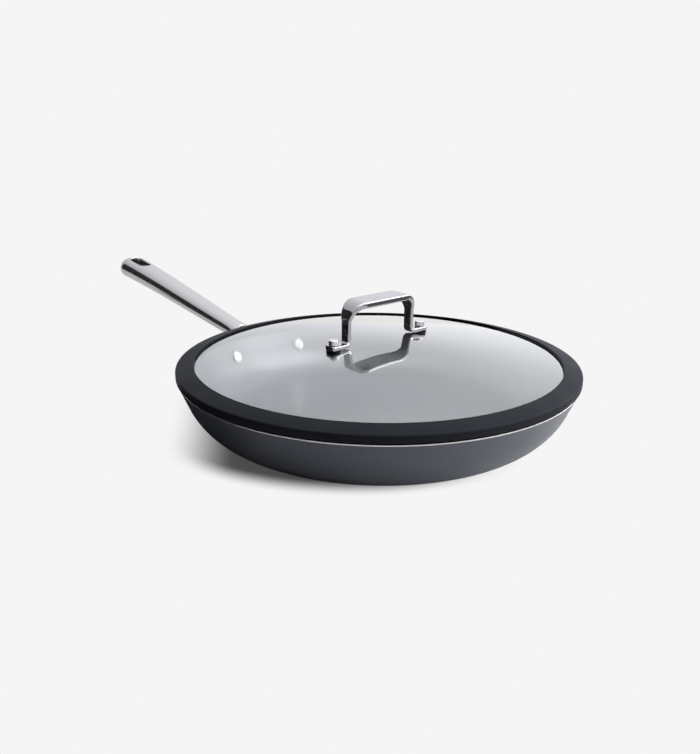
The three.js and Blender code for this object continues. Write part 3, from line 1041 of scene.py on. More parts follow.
@dataclass(frozen=True)
class GlassFinish(Finish):
    """Clear tempered glass with one clean mirror face, which lets lamp light through to what is under it.

    Metal above the glass mirrors a painted reflection in place of most of its top face: there the glass
    glows, dark except on the lit side of the lid's handle. Lengths are in millimetres.
    """

    dome_r: float
    name: str = "clear_glass"
    tint: Colour = (0.97, 0.98, 0.985)
    shade: Colour = (0.95, 0.96, 0.965)
    roughness: float = 0.05
    smudge_scale: float = 14
    smudge_change: float = 0.006
    index: float = 1.5
    crown_rise: float = 10
    crown_w: float = 51
    painted_reflection_share: float = 0.88
    painted_reflection_slope: float = 0.3
    painted_reflection_edge: Point = (2, 6)
    painted_reflection_lights: Point = (0.02, 1.0)

    def make(self, effects: Effects) -> bpy.types.Material:
        """Makes the material of the lid's glass.

        Args:
            effects: The shared effects.

        Returns:
            The material.
        """
        shader = Shader(self.name)
        shader.hold(Base_Color=self.tint, Metallic=0.0, Transmission_Weight=1.0, IOR=self.index)
        shader.hold(Coat_Weight=1.0, Coat_Roughness=self.roughness, Coat_IOR=self.index)
        smudges = shader.use(effects[Mark.SMUDGES], Scale=self.smudge_scale, Roughness=self.roughness,
                             Change=self.smudge_change)
        shader.roughness(smudges["Roughness"])
        crown = shader.use(effects[Mark.CROWN], Rise=self.crown_rise * MM, Width=self.crown_w * MM,
                           Sphere=self.dome_r * MM)
        normal = shader.bump(crown["Height"], 1.0, 1.0)
        wiring = shader.wiring
        wiring.link(normal, shader.main.inputs["Coat Normal"])
        path, face = wiring.add("LightPath").outputs, wiring.add("NewGeometry").outputs
        leaving = wiring.add("BsdfRefraction")
        for key, value in (("Color", self.tint), ("Roughness", 0.0), ("IOR", self.index), ("Normal", normal)):
            wiring.feed(leaving.inputs[key], value)
        clear = wiring.add("BsdfTransparent")
        wiring.feed(clear.inputs["Color"], self.shade)
        # Painted reflection: the glass's top face glows for metal above it, dark except on the lit side of
        # the lid's handle
        flag = wiring.add("Emission")
        aside = wiring.along(wiring.place(), LIT_SIDE)
        edge = (self.painted_reflection_edge[0] * MM, self.painted_reflection_edge[1] * MM)
        wiring.link(wiring.spread(aside, edge, self.painted_reflection_lights), flag.inputs["Strength"])
        through = wiring.math("MAXIMUM", path["Is Shadow Ray"], path["Is Diffuse Ray"])
        seen = wiring.choose(face["Backfacing"], shader.main.outputs["BSDF"], leaving.outputs["BSDF"])
        seen = wiring.choose(through, seen, clear.outputs["BSDF"])
        seen = wiring.choose(self.painted_reflection_cover(wiring, path, face), seen, flag.outputs["Emission"])
        shader.surface(seen)
        return shader.material

    def painted_reflection_cover(self, wiring: Wiring, path: bpy.types.NodeOutputs,
                            face: bpy.types.NodeOutputs) -> bpy.types.NodeSocket:
        """How far metal above the glass mirrors the painted reflection in place of the top face.

        Args:
            wiring: The material's node tree.
            path: Outputs of its light path node.
            face: Outputs of its geometry node.

        Returns:
            The share of the painted reflection.
        """
        axes = wiring.add("SeparateXYZ")
        wiring.link(face["True Normal"], axes.inputs["Vector"])
        upward = wiring.math("GREATER_THAN", axes.outputs["Z"], self.painted_reflection_slope)
        outside = wiring.math("SUBTRACT", 1.0, face["Backfacing"])
        from_above = wiring.math("MULTIPLY", wiring.math("MULTIPLY", upward, outside), wiring.mirrored(path))
        return wiring.math("MULTIPLY", from_above, self.painted_reflection_share)


# The pan


@dataclass
class PanShell:
    """The pan's shell, its base disc and the wall that other pieces follow."""

    rim_r: float = 150
    height: float = 46
    flare: float = math.radians(23)
    outer_corner_r: float = 50
    inner_corner_r: float = 45
    wall_t: float = 3.2
    floor_t: float = 4.6
    rim_round: float = 0.9
    bare_rim_h: float = 0.9
    disc_margin: float = 9.4
    disc_t: float = 1.2
    disc_edge_round: float = 0.3
    disc_hub_r: float = 8
    disc_flat_margin: float = 2
    fit_gap: float = 0.3
    recess_rings: int = 4
    outer_wall_rings: int = 6
    inner_wall_rings: int = 8
    floor_rings: int = 12
    disc_rings: int = 8
    disc_edge_steps: int = 4

    @property
    def wall_across(self) -> float:
        """Level thickness of the wall."""
        return self.wall_t / math.cos(self.flare)

    def wall_r(self, z: float) -> float:
        """Radius of the straight outer wall at a height."""
        return self.rim_r - (self.height - z) * math.tan(self.flare)

    def corner(self, inset: float, floor_z: float, radius: float) -> Point:
        """Centre of the arc that runs from a floor into the wall.

        Args:
            inset: How far the wall line lies inside the outer wall.
            floor_z: Height of the floor.
            radius: Radius of the arc.

        Returns:
            Radius and height of the centre.
        """
        tangent_z = floor_z + radius * (1 - math.sin(self.flare))
        return self.wall_r(tangent_z) - inset - radius * math.cos(self.flare), floor_z + radius

    def outer_profile(self, offset: float) -> list[Point]:
        """The outer wall pushed out by a distance.

        Args:
            offset: The distance.

        Returns:
            The corner's arc, then a point level with the rim.
        """
        centre = self.corner(0, 0, self.outer_corner_r)
        sweep = arc(centre, self.outer_corner_r + offset, -math.pi / 2, -self.flare, CORNER_STEPS)
        return sweep + [(self.rim_r + offset / math.cos(self.flare), self.height)]

    def outer_r(self, z: float, offset: float) -> float:
        """Radius of the pushed-out outer wall at a height.

        Args:
            z: The height.
            offset: How far the wall is pushed out.

        Returns:
            The radius.
        """
        centre_r, centre_z = self.corner(0, 0, self.outer_corner_r)
        radius = self.outer_corner_r + offset
        if z >= centre_z - radius * math.sin(self.flare):
            return self.wall_r(z) + offset / math.cos(self.flare)
        return centre_r + math.sqrt(max(radius ** 2 - (z - centre_z) ** 2, 0.0))

    @property
    def disc_r(self) -> float:
        """Radius of the base disc."""
        return self.corner(0, 0, self.outer_corner_r)[0] - self.disc_margin

    def space(self, offset: float, top: float) -> bpy.types.Object:
        """All the space of the pan up to its rim and above it, as a cutting tool.

        Args:
            offset: Gap that is added round the pan.
            top: Height of the tool.

        Returns:
            The tool.
        """
        wall = self.outer_profile(offset)
        return revolve("pan_space", [(0, -offset), *wall, (wall[-1][0], top), (0, top)])

    def build(self, holes: Sequence[bpy.types.Object]) -> bpy.types.Object:
        """Builds the shell, with bare metal along its rim.

        Args:
            holes: Tools for the rivets' holes.

        Returns:
            The shell.
        """
        wall = self.outer_profile(0)
        rim_out = wall.pop()
        bare_z = self.height - self.bare_rim_h
        bare = (self.wall_r(bare_z), bare_z)
        rim_in = (self.rim_r - self.wall_across, self.height)
        inner_centre = self.corner(self.wall_across, self.floor_t, self.inner_corner_r)
        inside = arc(inner_centre, self.inner_corner_r, -self.flare, -math.pi / 2, CORNER_STEPS)
        recess_r, recess_z = self.disc_r + self.fit_gap, self.disc_t + self.fit_gap
        recess = line((recess_r / 2, recess_z), (recess_r, recess_z), self.recess_rings)
        straight = line(wall[-1], bare, self.outer_wall_rings)[1:]
        outside = [(0, recess_z), *recess, (recess_r, 0), *wall, *straight]
        rim = rounded_corner(bare, rim_out, rim_in, self.rim_round)
        rim += rounded_corner(rim_out, rim_in, inside[0], self.rim_round)
        inner = line(rim[-1], inside[0], self.inner_wall_rings)[1:] + inside[1:]
        inner += line(inside[-1], (0, self.floor_t), self.floor_rings)[1:]
        profile = outside + rim + inner
        zones = [Zone.OUTSIDE.value] * (len(outside) - 1) + [Zone.RIM.value] * len(rim)
        zones += [Zone.INSIDE.value] * (len(profile) - 1 - len(zones))
        shell = revolve("pan_shell", profile, FINE_ROUND, zones)
        return soften(apply_tools(shell, Cut.REMOVE, *holes))

    def build_disc(self) -> bpy.types.Object:
        """Builds the steel disc in the base.

        Returns:
            The disc.
        """
        radius, top, soft = self.disc_r, self.disc_t, self.disc_edge_round
        flat = line((self.disc_hub_r, 0), (radius - self.disc_flat_margin, 0), self.disc_rings)
        low = rounded_corner((0, 0), (radius, 0), (radius, top), soft, self.disc_edge_steps)
        high = rounded_corner((radius, 0), (radius, top), (0, top), soft, self.disc_edge_steps)
        return soften(revolve("base_disc", [(0, 0), *flat, *low, *high, (0, top)]))

    def dress(self, effects: Effects, holes: Sequence[bpy.types.Object]) -> None:
        """Builds and finishes the shell and its disc.

        Args:
            effects: The shared effects.
            holes: Tools for the rivets' holes.
        """
        skins = [finish.make(effects) for finish in (AnodisedFinish(), BareRimFinish(), CoatFinish())]
        finish_piece(self.build(holes), Body.PAN, Slot.ANODISED, ["pan_body"], *skins)
        disc_steel = DiscSteelFinish().make(effects)
        finish_piece(self.build_disc(), Body.PAN, Slot.BASE_STEEL, ["induction_base_plate"], disc_steel)


@dataclass
class Rivets:
    """The two rivets that hold the handle, along the wall's outward normal."""

    shell: PanShell
    pitch: float = 67
    drop: float = 16
    shank_r: float = 2.7
    head_r: float = 4.5
    head_h: float = 1.6
    head_round: float = 1.1
    tail_r: float = 4.2
    tail_h: float = 1.8
    tail_round: float = 0.6
    head_gap: float = 0.75
    tail_steps: int = 5
    hole_clearance: float = 0.3
    hole_segments: int = 32
    flange_t: float = 3.6
    sides: tuple[tuple[str, int], ...] = (("left", 1), ("right", -1))

    @property
    def grip(self) -> float:
        """Thickness of what a rivet holds, from the wall's inner face."""
        return self.shell.wall_t + self.shell.fit_gap + self.flange_t

    def place(self, piece: bpy.types.Object, side: int) -> bpy.types.Object:
        """Moves a piece that was made along +Z to a rivet.

        Args:
            piece: The piece.
            side: 1 or -1.

        Returns:
            The same piece.
        """
        z = self.shell.height - self.drop
        radius = self.shell.wall_r(z) - self.shell.wall_across
        turn = side * math.asin(self.pitch / 2 / radius)
        tilt = Matrix.Rotation(math.pi / 2 + self.shell.flare, 4, "Y")
        move = Matrix.Translation(Vector((radius, 0, z)) * MM)
        piece.data.transform(Matrix.Rotation(turn, 4, "Z") @ move @ tilt)
        return piece

    def holes(self) -> list[bpy.types.Object]:
        """Makes tools for both holes, through the wall and the flange.

        Returns:
            The tools.
        """
        radius, low, high = self.shank_r + self.hole_clearance, -self.head_r, self.grip + self.head_r
        profile = [(0, low), (radius, low), (radius, high), (0, high)]
        tools = [(revolve("rivet_hole", profile, self.hole_segments), side) for _, side in self.sides]
        return [self.place(tool, side) for tool, side in tools]

    def build(self, name: str, side: int) -> bpy.types.Object:
        """Builds one rivet with a flat round head inside the pan.

        Args:
            name: Name of the piece.
            side: 1 or -1.

        Returns:
            The rivet.
        """
        head_z, tail_z = -self.head_gap, self.grip + self.shell.fit_gap
        face = head_z - self.head_h
        head = rounded_corner((0, face), (self.head_r, face), (self.head_r, head_z), self.head_round)
        end, tail_r = tail_z + self.tail_h, self.tail_r
        tail = rounded_corner((tail_r, tail_z), (tail_r, end), (0, end), self.tail_round, self.tail_steps)
        profile = [
            (0, face), *head, (self.head_r, head_z), (self.shank_r, head_z),
            (self.shank_r, tail_z), (tail_r, tail_z), *tail, (0, end),
        ]
        return soften(self.place(revolve(name, profile, SMALL_ROUND), side))

    def dress(self, effects: Effects) -> None:
        """Builds and finishes both rivets.

        Args:
            effects: The shared effects.
        """
        steel = RIVET_STEEL.make(effects)
        for end, side in self.sides:
            rivet = self.build(f"wall_rivet_{end}", side)
            finish_piece(rivet, Body.PAN, Slot.RIVET_STEEL, [f"handle_rivet_{end}"], steel)


@dataclass
class PanHandle:
    """A rising bar that spreads into a flange on the pan's wall.

    Each of the hole_edge_steps is a distance outside a hole and a depth under the skin, both as shares of
    hole_edge.
    """

    shell: PanShell
    rivets: Rivets
    length: float = 222.5
    root_drop: float = 11.5
    tip_rise: float = 26.8
    root_angle: float = math.radians(10.3)
    tip_angle: float = math.radians(5.6)
    root_pull: float = 110
    tip_pull: float = 45
    root_sink: float = 12
    neck_w: float = 17.1
    neck_h: float = 12.2
    grip_w: float = 31.5
    grip_h: float = 21.2
    tip_h: float = 6
    tip_inset: float = 0.25
    flare_clearance: float = 5.1
    flare_length: float = 46
    flare_power: float = 2.4
    squareness: float = 2.2
    neck_hole_start: float = 4
    neck_hole_length: float = 22
    neck_hole_w: float = 19
    neck_hole_round: float = 2.6
    slot_length: float = 28
    slot_w: float = 11.5
    slot_end_margin: float = 10.8
    hole_edge: float = 1.0
    hole_edge_steps: tuple[Point, ...] = ((1.0, -6.0), (1.0, -0.25), (0.45, 0.25), (0.12, 0.6), (0.0, 1.1))
    flange_margin: float = 9.5
    flange_drop: float = 3.5
    flange_h: float = 21.5
    flange_round: float = 9
    flange_edge: float = 1.1
    flange_hub: float = 0.02
    section_points: int = 64
    flare_steps: int = 36
    bar_steps: int = 40
    tip_steps: int = 18
    slot_steps: int = 20
    neck_hole_steps: int = 12
    flange_corner_steps: int = 8
    flange_edge_steps: int = 4
    flange_rings: int = 12
    centre_line: CentreLine = field(init=False)

    def __post_init__(self) -> None:
        """Lays the bar's centre line."""
        root = Vector((self.shell.rim_r, self.shell.height - self.root_drop))
        tip = Vector((self.shell.rim_r + self.length, self.shell.height + self.tip_rise))
        lean = Vector((math.cos(self.root_angle), math.sin(self.root_angle)))
        level = Vector((math.cos(self.tip_angle), math.sin(self.tip_angle)))
        corners = [root, root + lean * self.root_pull, tip - level * self.tip_pull, tip]
        self.centre_line = CentreLine([tuple(c) for c in corners])

    def size(self, distance: float) -> Point:
        """Width and height of the bar at a distance along it.

        Args:
            distance: Distance from the rim.

        Returns:
            Width and height.
        """
        total = self.centre_line.length
        along = clamp(distance / total, 0, 1)
        flare = clamp(1 - distance / self.flare_length, 0, 2) ** self.flare_power
        inside = clamp(1 - (total - distance) / (self.grip_w / 2), 0, 1)
        end = math.sqrt(1 - inside * inside)
        spread = self.rivets.pitch - 2 * (self.rivets.tail_r + self.flare_clearance) - self.neck_w
        width = (mix(self.neck_w, self.grip_w, along) + spread * flare) * end
        height = min(mix(self.neck_h, self.grip_h, along), self.tip_h + (self.grip_h - self.tip_h) * end)
        return width, height

    def section(self, distance: float) -> Loop:
        """One section of the bar.

        Args:
            distance: Distance from the rim.

        Returns:
            Its loop in millimetres.
        """
        place, direction = self.centre_line.at(distance)
        up = Vector((-direction.y, direction.x))
        outline = soft_section(*self.size(distance), self.squareness, self.section_points)
        return [Vector((place.x + up.x * v, u, place.y + up.y * v)) for u, v in outline]

    def stations(self) -> list[float]:
        """Distances of the bar's sections, closer together where its shape changes.

        Returns:
            The distances from the rim.
        """
        tip_r = self.grip_w / 2
        tip_start = self.centre_line.length - tip_r
        flare = spaced(-self.root_sink, self.flare_length, self.flare_steps)
        bar = spaced(self.flare_length, tip_start, self.bar_steps)
        reach = tip_r - self.tip_inset
        return flare[:-1] + bar + [tip_start + reach * math.sin(t) for t in quarter_turn(self.tip_steps)[1:]]

    def hole_tool(self, outline: Sequence[Point], distance: float) -> bpy.types.Object:
        """A cutting tool with a rounded edge that follows the bar's skin.

        Args:
            outline: Outline of the hole, in the bar's length and width.
            distance: Where along the bar its zero lies.

        Returns:
            The tool.
        """
        place, direction = self.centre_line.at(distance)
        up = Vector((-direction.y, direction.x))
        count = len(outline)
        normals = []
        for i in range(count):
            run = Vector(outline[(i + 1) % count]) - Vector(outline[i - 1])
            normals.append(Vector((run.y, -run.x)).normalized())

        def loop(offset: float, depth: float, sign: int) -> Loop:
            """One loop of the tool.

            Args:
                offset: How far it lies outside the hole.
                depth: How deep it lies under the bar's skin.
                sign: 1 on the bar's upper side, -1 on its lower side.

            Returns:
                The loop.
            """
            made = []
            for (s, t), normal in zip(outline, normals):
                s, t = s + normal.x * offset, t + normal.y * offset
                width, height = self.size(distance + s)
                rest = max(1 - abs(2 * t / max(width, TINY)) ** self.squareness, 0.0)
                skin = height / 2 * rest ** (1 / self.squareness)
                v = sign * (skin - depth)
                at = place + direction * s + up * v
                made.append(Vector((at.x, t, at.y)))
            return made

        edge = self.hole_edge
        upper = [loop(offset * edge, depth * edge, 1) for offset, depth in self.hole_edge_steps]
        lower = [loop(offset * edge, depth * edge, -1) for offset, depth in reversed(self.hole_edge_steps)]
        return loft("hole_tool", upper + lower)

    def slot_outline(self) -> list[Point]:
        """Outline of the hanging slot, turning left.

        Returns:
            Its points, in the bar's length and width.
        """
        reach, radius, half = (self.slot_length - self.slot_w) / 2, self.slot_w / 2, math.pi / 2
        outer_end = arc((reach, 0), radius, -half, half, self.slot_steps)
        return outer_end + arc((-reach, 0), radius, half, 3 * half, self.slot_steps)

    def neck_hole_outline(self) -> list[Point]:
        """Outline of the opening in the neck: a round-cornered triangle, wide at the pan.

        Returns:
            Its points, in the bar's length and width.
        """
        radius, steps = self.neck_hole_round, self.neck_hole_steps
        wide, far = self.neck_hole_w / 2 - radius, self.neck_hole_length - radius
        slant = math.atan2(far - radius, wide)
        tip = arc((far, 0), radius, -slant, slant, steps)
        left = arc((radius, wide), radius, slant, math.pi, steps)
        return tip + left + arc((radius, -wide), radius, math.pi, 2 * math.pi - slant, steps)

    def flange(self) -> bpy.types.Object:
        """A plate that follows the wall, with rounded corners and edges.

        Returns:
            The plate.
        """
        high = self.shell.height - self.flange_drop
        low = high - self.flange_h
        half_w, half_h = self.rivets.pitch / 2 + self.flange_margin, self.flange_h / 2
        middle = (high + low) / 2
        inner, outer = self.shell.fit_gap, self.shell.fit_gap + self.rivets.flange_t

        def loop(inset: float, share: float, offset: float) -> Loop:
            """The plate's outline, drawn in and laid on the pushed-out wall.

            Args:
                inset: How far the outline is drawn in.
                share: Its size, as a share of the whole plate.
                offset: How far the wall is pushed out.

            Returns:
                The loop.
            """
            radius, quarter = self.flange_round, math.pi / 2
            wide, tall = half_w - radius, half_h - radius
            outline: list[Point] = []
            for turn, (x, y) in enumerate(((wide, tall), (-wide, tall), (-wide, -tall), (wide, -tall))):
                start, end = turn * quarter, (turn + 1) * quarter
                outline += arc((x, y), radius - inset, start, end, self.flange_corner_steps)
            made = []
            for y, rise in outline:
                y, z = y * share, middle + rise * share
                wall = self.shell.outer_r(z, offset)
                made.append(Vector((math.sqrt(wall * wall - y * y), y, z)))
            return made

        edge = self.flange_edge
        shares = [self.flange_hub, *spaced(0, 1, self.flange_rings)[1:-1]]
        rounds = quarter_turn(self.flange_edge_steps)
        back = [loop(0, share, inner) for share in shares + [1.0]]
        rim = [loop(edge * (1 - math.cos(t)), 1.0, outer - edge * (1 - math.sin(t))) for t in rounds]
        front = [loop(edge, share, outer) for share in reversed(shares)]
        return loft("handle_flange", back + rim + front)

    def build(self) -> bpy.types.Object:
        """Builds the bar, joins it to its flange and opens its holes.

        Returns:
            The handle.
        """
        total = self.centre_line.length
        bar = loft("pan_handle_bar", [self.section(d) for d in self.stations()])
        apply_tools(bar, Cut.REMOVE, self.shell.space(self.shell.fit_gap, self.shell.height + self.grip_h))
        apply_tools(bar, Cut.ADD, self.flange())
        slot = self.hole_tool(self.slot_outline(), total - self.slot_end_margin - self.slot_length / 2)
        neck = self.hole_tool(self.neck_hole_outline(), self.neck_hole_start)
        apply_tools(bar, Cut.REMOVE, slot, neck, *self.rivets.holes())
        return soften(bar)

    def dress(self, effects: Effects) -> None:
        """Builds and finishes the handle."""
        steel = HandleSteelFinish().make(effects)
        finish_piece(self.build(), Body.PAN, Slot.SATIN_STEEL, ["pan_handle"], steel)


# The lid


@dataclass
class LidGlass:
    """The domed glass, whose faces are spheres about one centre."""

    shell: PanShell
    inset: float = 6
    thickness: float = 4
    rise: float = 17.4
    edge_lift: float = 6.2
    edge_round: float = 1
    hole_r: float = 3
    rings: int = 40

    @property
    def outer_r(self) -> float:
        """Radius of the glass."""
        return self.shell.rim_r - self.inset

    @property
    def sphere_r(self) -> float:
        """Radius of the sphere that the top face lies on."""
        return (self.outer_r ** 2 + self.rise ** 2) / (2 * self.rise)

    @property
    def crown_z(self) -> float:
        """Height of the crown."""
        return self.shell.height + self.edge_lift + self.rise

    def dome_z(self, r: float, depth: float = 0.0) -> float:
        """Height of the dome at a radius, at a depth below its top face.

        Args:
            r: The radius.
            depth: The depth.

        Returns:
            The height.
        """
        return self.crown_z - self.sphere_r + math.sqrt((self.sphere_r - depth) ** 2 - r * r)

    def face(self, depth: float) -> list[Point]:
        """A dome face from the axis out to the edge."""
        return [(r, self.dome_z(r, depth)) for r in spaced(0, self.outer_r, self.rings)]

    def build(self, holes: Sequence[bpy.types.Object]) -> bpy.types.Object:
        """Builds the glass.

        Args:
            holes: Tools for the screws' holes.

        Returns:
            The glass.
        """
        top, under = self.face(0), self.face(self.thickness)
        top_edge, under_edge = top.pop(), under.pop()
        low = rounded_corner(under[-1], under_edge, top_edge, self.edge_round)
        high = rounded_corner(under_edge, top_edge, top[-1], self.edge_round)
        glass = revolve("lid_dome", under + low + high + top[::-1])
        return soften(apply_tools(glass, Cut.REMOVE, *holes))

    def dress(self, effects: Effects, holes: Sequence[bpy.types.Object]) -> None:
        """Builds and finishes the glass."""
        clear = GlassFinish(self.sphere_r).make(effects)
        finish_piece(self.build(holes), Body.LID, Slot.GLASS, ["lid_glass"], clear)


@dataclass
class LidBand:
    """The silicone band that grips the glass, rests on the rim and dips inside the wall."""

    shell: PanShell
    glass: LidGlass
    lip_inset: float = 12.65
    lip_lift: float = 1.95
    overhang: float = 0.9
    shoulder_rise: float = 0.25
    side_lift: float = 1.3
    edge_round: float = 1.2
    foot_round: float = 0.4
    lower_lip_inset: float = 11
    lower_lip_t: float = 1.6
    seat_w: float = 2
    skirt_depth: float = 3
    skirt_t: float = 2.2
    skirt_clearance: float = 0.6
    slot_rings: int = 4
    foot_steps: int = 4
    shoulder_steps: int = 8
    lip_steps: int = 6

    def build(self) -> bpy.types.Object:
        """Builds the band as one ring.

        Returns:
            The band.
        """
        rim, top, gap = self.shell.rim_r, self.shell.height, self.shell.fit_gap
        rim_in, out_r, lip_r = rim - self.shell.wall_across, rim + self.overhang, rim - self.lip_inset
        low_r, slot_r = rim - self.lower_lip_inset, self.glass.outer_r + gap
        seat_z, side_z, skirt_z = top + gap, top + self.side_lift, top - self.skirt_depth
        skirt_r = self.shell.wall_r(skirt_z) - self.shell.wall_across - self.skirt_clearance
        seat_r = rim_in + self.seat_w
        lip_under = (lip_r, self.glass.dome_z(lip_r, -gap))
        lip_top = (lip_r, self.glass.dome_z(lip_r) + self.lip_lift)
        shoulder = (out_r, top + self.glass.edge_lift + self.shoulder_rise)
        foot = (out_r, side_z)
        low_z = self.glass.dome_z(low_r, self.glass.thickness + gap)
        profile = [
            *line(lip_under, (slot_r, self.glass.dome_z(slot_r, -gap)), self.slot_rings),
            (slot_r, self.glass.dome_z(slot_r, self.glass.thickness + gap)),
            (low_r, low_z), (low_r, low_z - self.lower_lip_t),
            (skirt_r - self.skirt_t, skirt_z), (skirt_r, skirt_z),
            (rim_in - self.skirt_clearance, seat_z), (seat_r, seat_z), (seat_r, side_z),
            *rounded_corner((seat_r, side_z), foot, shoulder, self.foot_round, self.foot_steps),
            *rounded_corner(foot, shoulder, lip_top, self.edge_round, self.shoulder_steps),
            *rounded_corner(shoulder, lip_top, lip_under, self.edge_round / 2, self.lip_steps),
        ]
        return soften(revolve("lid_band", profile))

    def dress(self, effects: Effects) -> None:
        """Builds and finishes the band."""
        finish_piece(self.build(), Body.LID, Slot.SILICONE, ["lid_rim_band"], SiliconeFinish().make(effects))


@dataclass(frozen=True)
class StrapPlace:
    """A place on the lid handle's strap: its centre, direction, width and thickness."""

    x: float
    z: float
    angle: float
    width: float
    thickness: float


@dataclass
class LidHandle:
    """One strap, wide at the grip, narrow in the legs and flat at the feet, with its two barrel nuts."""

    glass: LidGlass
    turn: float = math.radians(-92)
    pitch: float = 87.5
    foot_w: float = 10.4
    foot_t: float = 3.5
    foot_reach: float = 12.05
    leg_w: float = 8.2
    leg_t: float = 3.2
    grip_w: float = 20
    grip_t: float = 5.2
    grip_lift: float = 29.95
    corner_r: float = 12
    bend_r: float = 3.4
    squareness: float = 6.5
    leg_squareness: float = 5
    spread_power: float = 0.95
    section_points: int = 48
    tip_reach: float = 4.4
    tip_r: float = 2.2
    gasket_t: float = 0.6
    shank_r: float = 2.3
    clearance: float = 0.3
    barrel_r: float = 3.6
    barrel_h: float = 3.6
    barrel_cap: float = 0.8
    barrel_round: float = 0.5
    tip_steps: int = 10
    bend_steps: int = 20
    grip_steps: int = 5
    hole_segments: int = 48
    ends: tuple[tuple[str, int], ...] = (("near", 1), ("far", -1))

    @property
    def foot_under(self) -> float:
        """Height of the feet's under face."""
        gap = self.glass.shell.fit_gap
        return self.glass.dome_z(self.pitch / 2) + 2 * gap + self.gasket_t

    @property
    def foot_top(self) -> float:
        """Height of the feet's top face."""
        return self.foot_under + self.foot_t

    def round_at(self, name: str, profile: Sequence[Point], side: int, segments: int) -> bpy.types.Object:
        """A turned piece on the axis of one of the screws.

        Args:
            name: Name of the piece.
            profile: Its profile.
            side: 1 for the near screw, -1 for the far one.
            segments: Count of steps round its axis.

        Returns:
            The piece.
        """
        piece = revolve(name, profile, segments)
        move = Matrix.Translation(Vector((side * self.pitch / 2, 0, 0)) * MM)
        piece.data.transform(Matrix.Rotation(self.turn, 4, "Z") @ move)
        return piece

    def holes(self, radius: float) -> list[bpy.types.Object]:
        """Makes tools for the screws' holes, through glass and feet.

        Args:
            radius: Radius of the holes.

        Returns:
            The tools.
        """
        low, high = self.glass.shell.height, self.foot_top + self.foot_t
        profile = [(0, low), (radius, low), (radius, high), (0, high)]
        return [self.round_at("screw_hole", profile, side, self.hole_segments) for _, side in self.ends]

    def bend(self, centre: Point, radius: float, start: StrapPlace, end: StrapPlace,
             power: float) -> list[StrapPlace]:
        """A quarter bend from one direction, width and thickness to another.

        Args:
            centre: Centre of the bend.
            radius: Radius of the strap's middle.
            start: Place at its start.
            end: Place at its end.
            power: How late the width and thickness change; 0 changes them smoothly at both ends.

        Returns:
            The places along it.
        """
        left = math.copysign(1, end.angle - start.angle)
        places = []
        for along in spaced(0, 1, self.bend_steps):
            share = along ** power if power else along * along * (3 - 2 * along)
            angle = mix(start.angle, end.angle, along)
            x = centre[0] + left * radius * math.sin(angle)
            z = centre[1] - left * radius * math.cos(angle)
            width, thickness = mix(start.width, end.width, share), mix(start.thickness, end.thickness, share)
            places.append(StrapPlace(x, z, angle, width, thickness))
        return places

    def half_strap(self) -> list[StrapPlace]:
        """Half of the strap, from the tip of a foot to near the middle of the grip.

        Returns:
            The places along it.
        """
        foot_z = self.foot_under + self.foot_t / 2
        grip_z = self.foot_top + self.grip_lift - self.grip_t / 2
        screw_x, leg_x = self.pitch / 2, self.foot_reach - self.pitch / 2
        foot = StrapPlace(0, 0, 0, self.foot_w, self.foot_t)
        leg = StrapPlace(0, 0, math.pi / 2, self.leg_w, self.leg_t)
        grip = StrapPlace(0, grip_z, 0, self.grip_w, self.grip_t)
        end_x = -screw_x - self.tip_reach
        tip = [
            StrapPlace(end_x + self.tip_r * (1 - math.cos(t)), foot_z, 0,
                       self.foot_w - 2 * self.tip_r * (1 - math.sin(t)), self.foot_t)
            for t in quarter_turn(self.tip_steps)
        ]
        heel = self.bend((leg_x - self.bend_r, foot_z + self.bend_r), self.bend_r, foot, leg, 0)
        corner_at = (leg_x + self.corner_r, grip_z - self.corner_r)
        corner = self.bend(corner_at, self.corner_r, leg, grip, self.spread_power)
        shares = spaced(0, 1, self.grip_steps)[1:]
        straight = [StrapPlace(corner[-1].x * (1 - s), grip_z, 0, self.grip_w, self.grip_t) for s in shares]
        return tip + heel + corner + straight

    def section(self, place: StrapPlace) -> Loop:
        """One section of the strap.

        Args:
            place: Its place on the strap.

        Returns:
            Its loop in millimetres.
        """
        share = clamp((place.width - self.leg_w) / (self.grip_w - self.leg_w), 0, 1)
        squareness = mix(self.leg_squareness, self.squareness, share)
        outline = soft_section(place.width, place.thickness, squareness, self.section_points)
        across, up = -math.sin(place.angle), math.cos(place.angle)
        return [Vector((place.x + across * v, u, place.z + up * v)) for u, v in outline]

    def build(self) -> bpy.types.Object:
        """Builds the strap with its screw holes.

        Returns:
            The strap.
        """
        half = self.half_strap()
        mirrored = [StrapPlace(-p.x, p.z, -p.angle, p.width, p.thickness) for p in reversed(half[:-1])]
        strap = loft("lid_grip_strap", [self.section(p) for p in half + mirrored])
        strap.data.transform(Matrix.Rotation(self.turn, 4, "Z"))
        return soften(apply_tools(strap, Cut.REMOVE, *self.holes(self.shank_r + self.clearance)))

    def build_barrel(self, name: str, side: int) -> bpy.types.Object:
        """Builds a plain round nut on a foot, bored from below.

        Args:
            name: Name of the piece.
            side: 1 for the near screw, -1 for the far one.

        Returns:
            The nut.
        """
        under = self.foot_top + self.glass.shell.fit_gap
        top = under + self.barrel_h
        bore_r, bore_z = self.shank_r + self.clearance, under + self.barrel_h - self.barrel_cap
        edge = rounded_corner((self.barrel_r, under), (self.barrel_r, top), (0, top), self.barrel_round)
        profile = [(0, bore_z), (bore_r, bore_z), (bore_r, under), (self.barrel_r, under), *edge, (0, top)]
        return soften(self.round_at(name, profile, side, SMALL_ROUND))

    def dress(self, effects: Effects) -> None:
        """Builds and finishes the strap and its nuts.

        Args:
            effects: The shared effects.
        """
        polished = PolishedSteelFinish().make(effects)
        satin = BARREL_STEEL.make(effects)
        finish_piece(self.build(), Body.LID, Slot.POLISHED_STEEL, ["lid_handle"], polished)
        for end, side in self.ends:
            barrel = self.build_barrel(f"foot_barrel_{end}", side)
            finish_piece(barrel, Body.LID, Slot.POLISHED_STEEL, [f"barrel_nut_{end}"], satin)


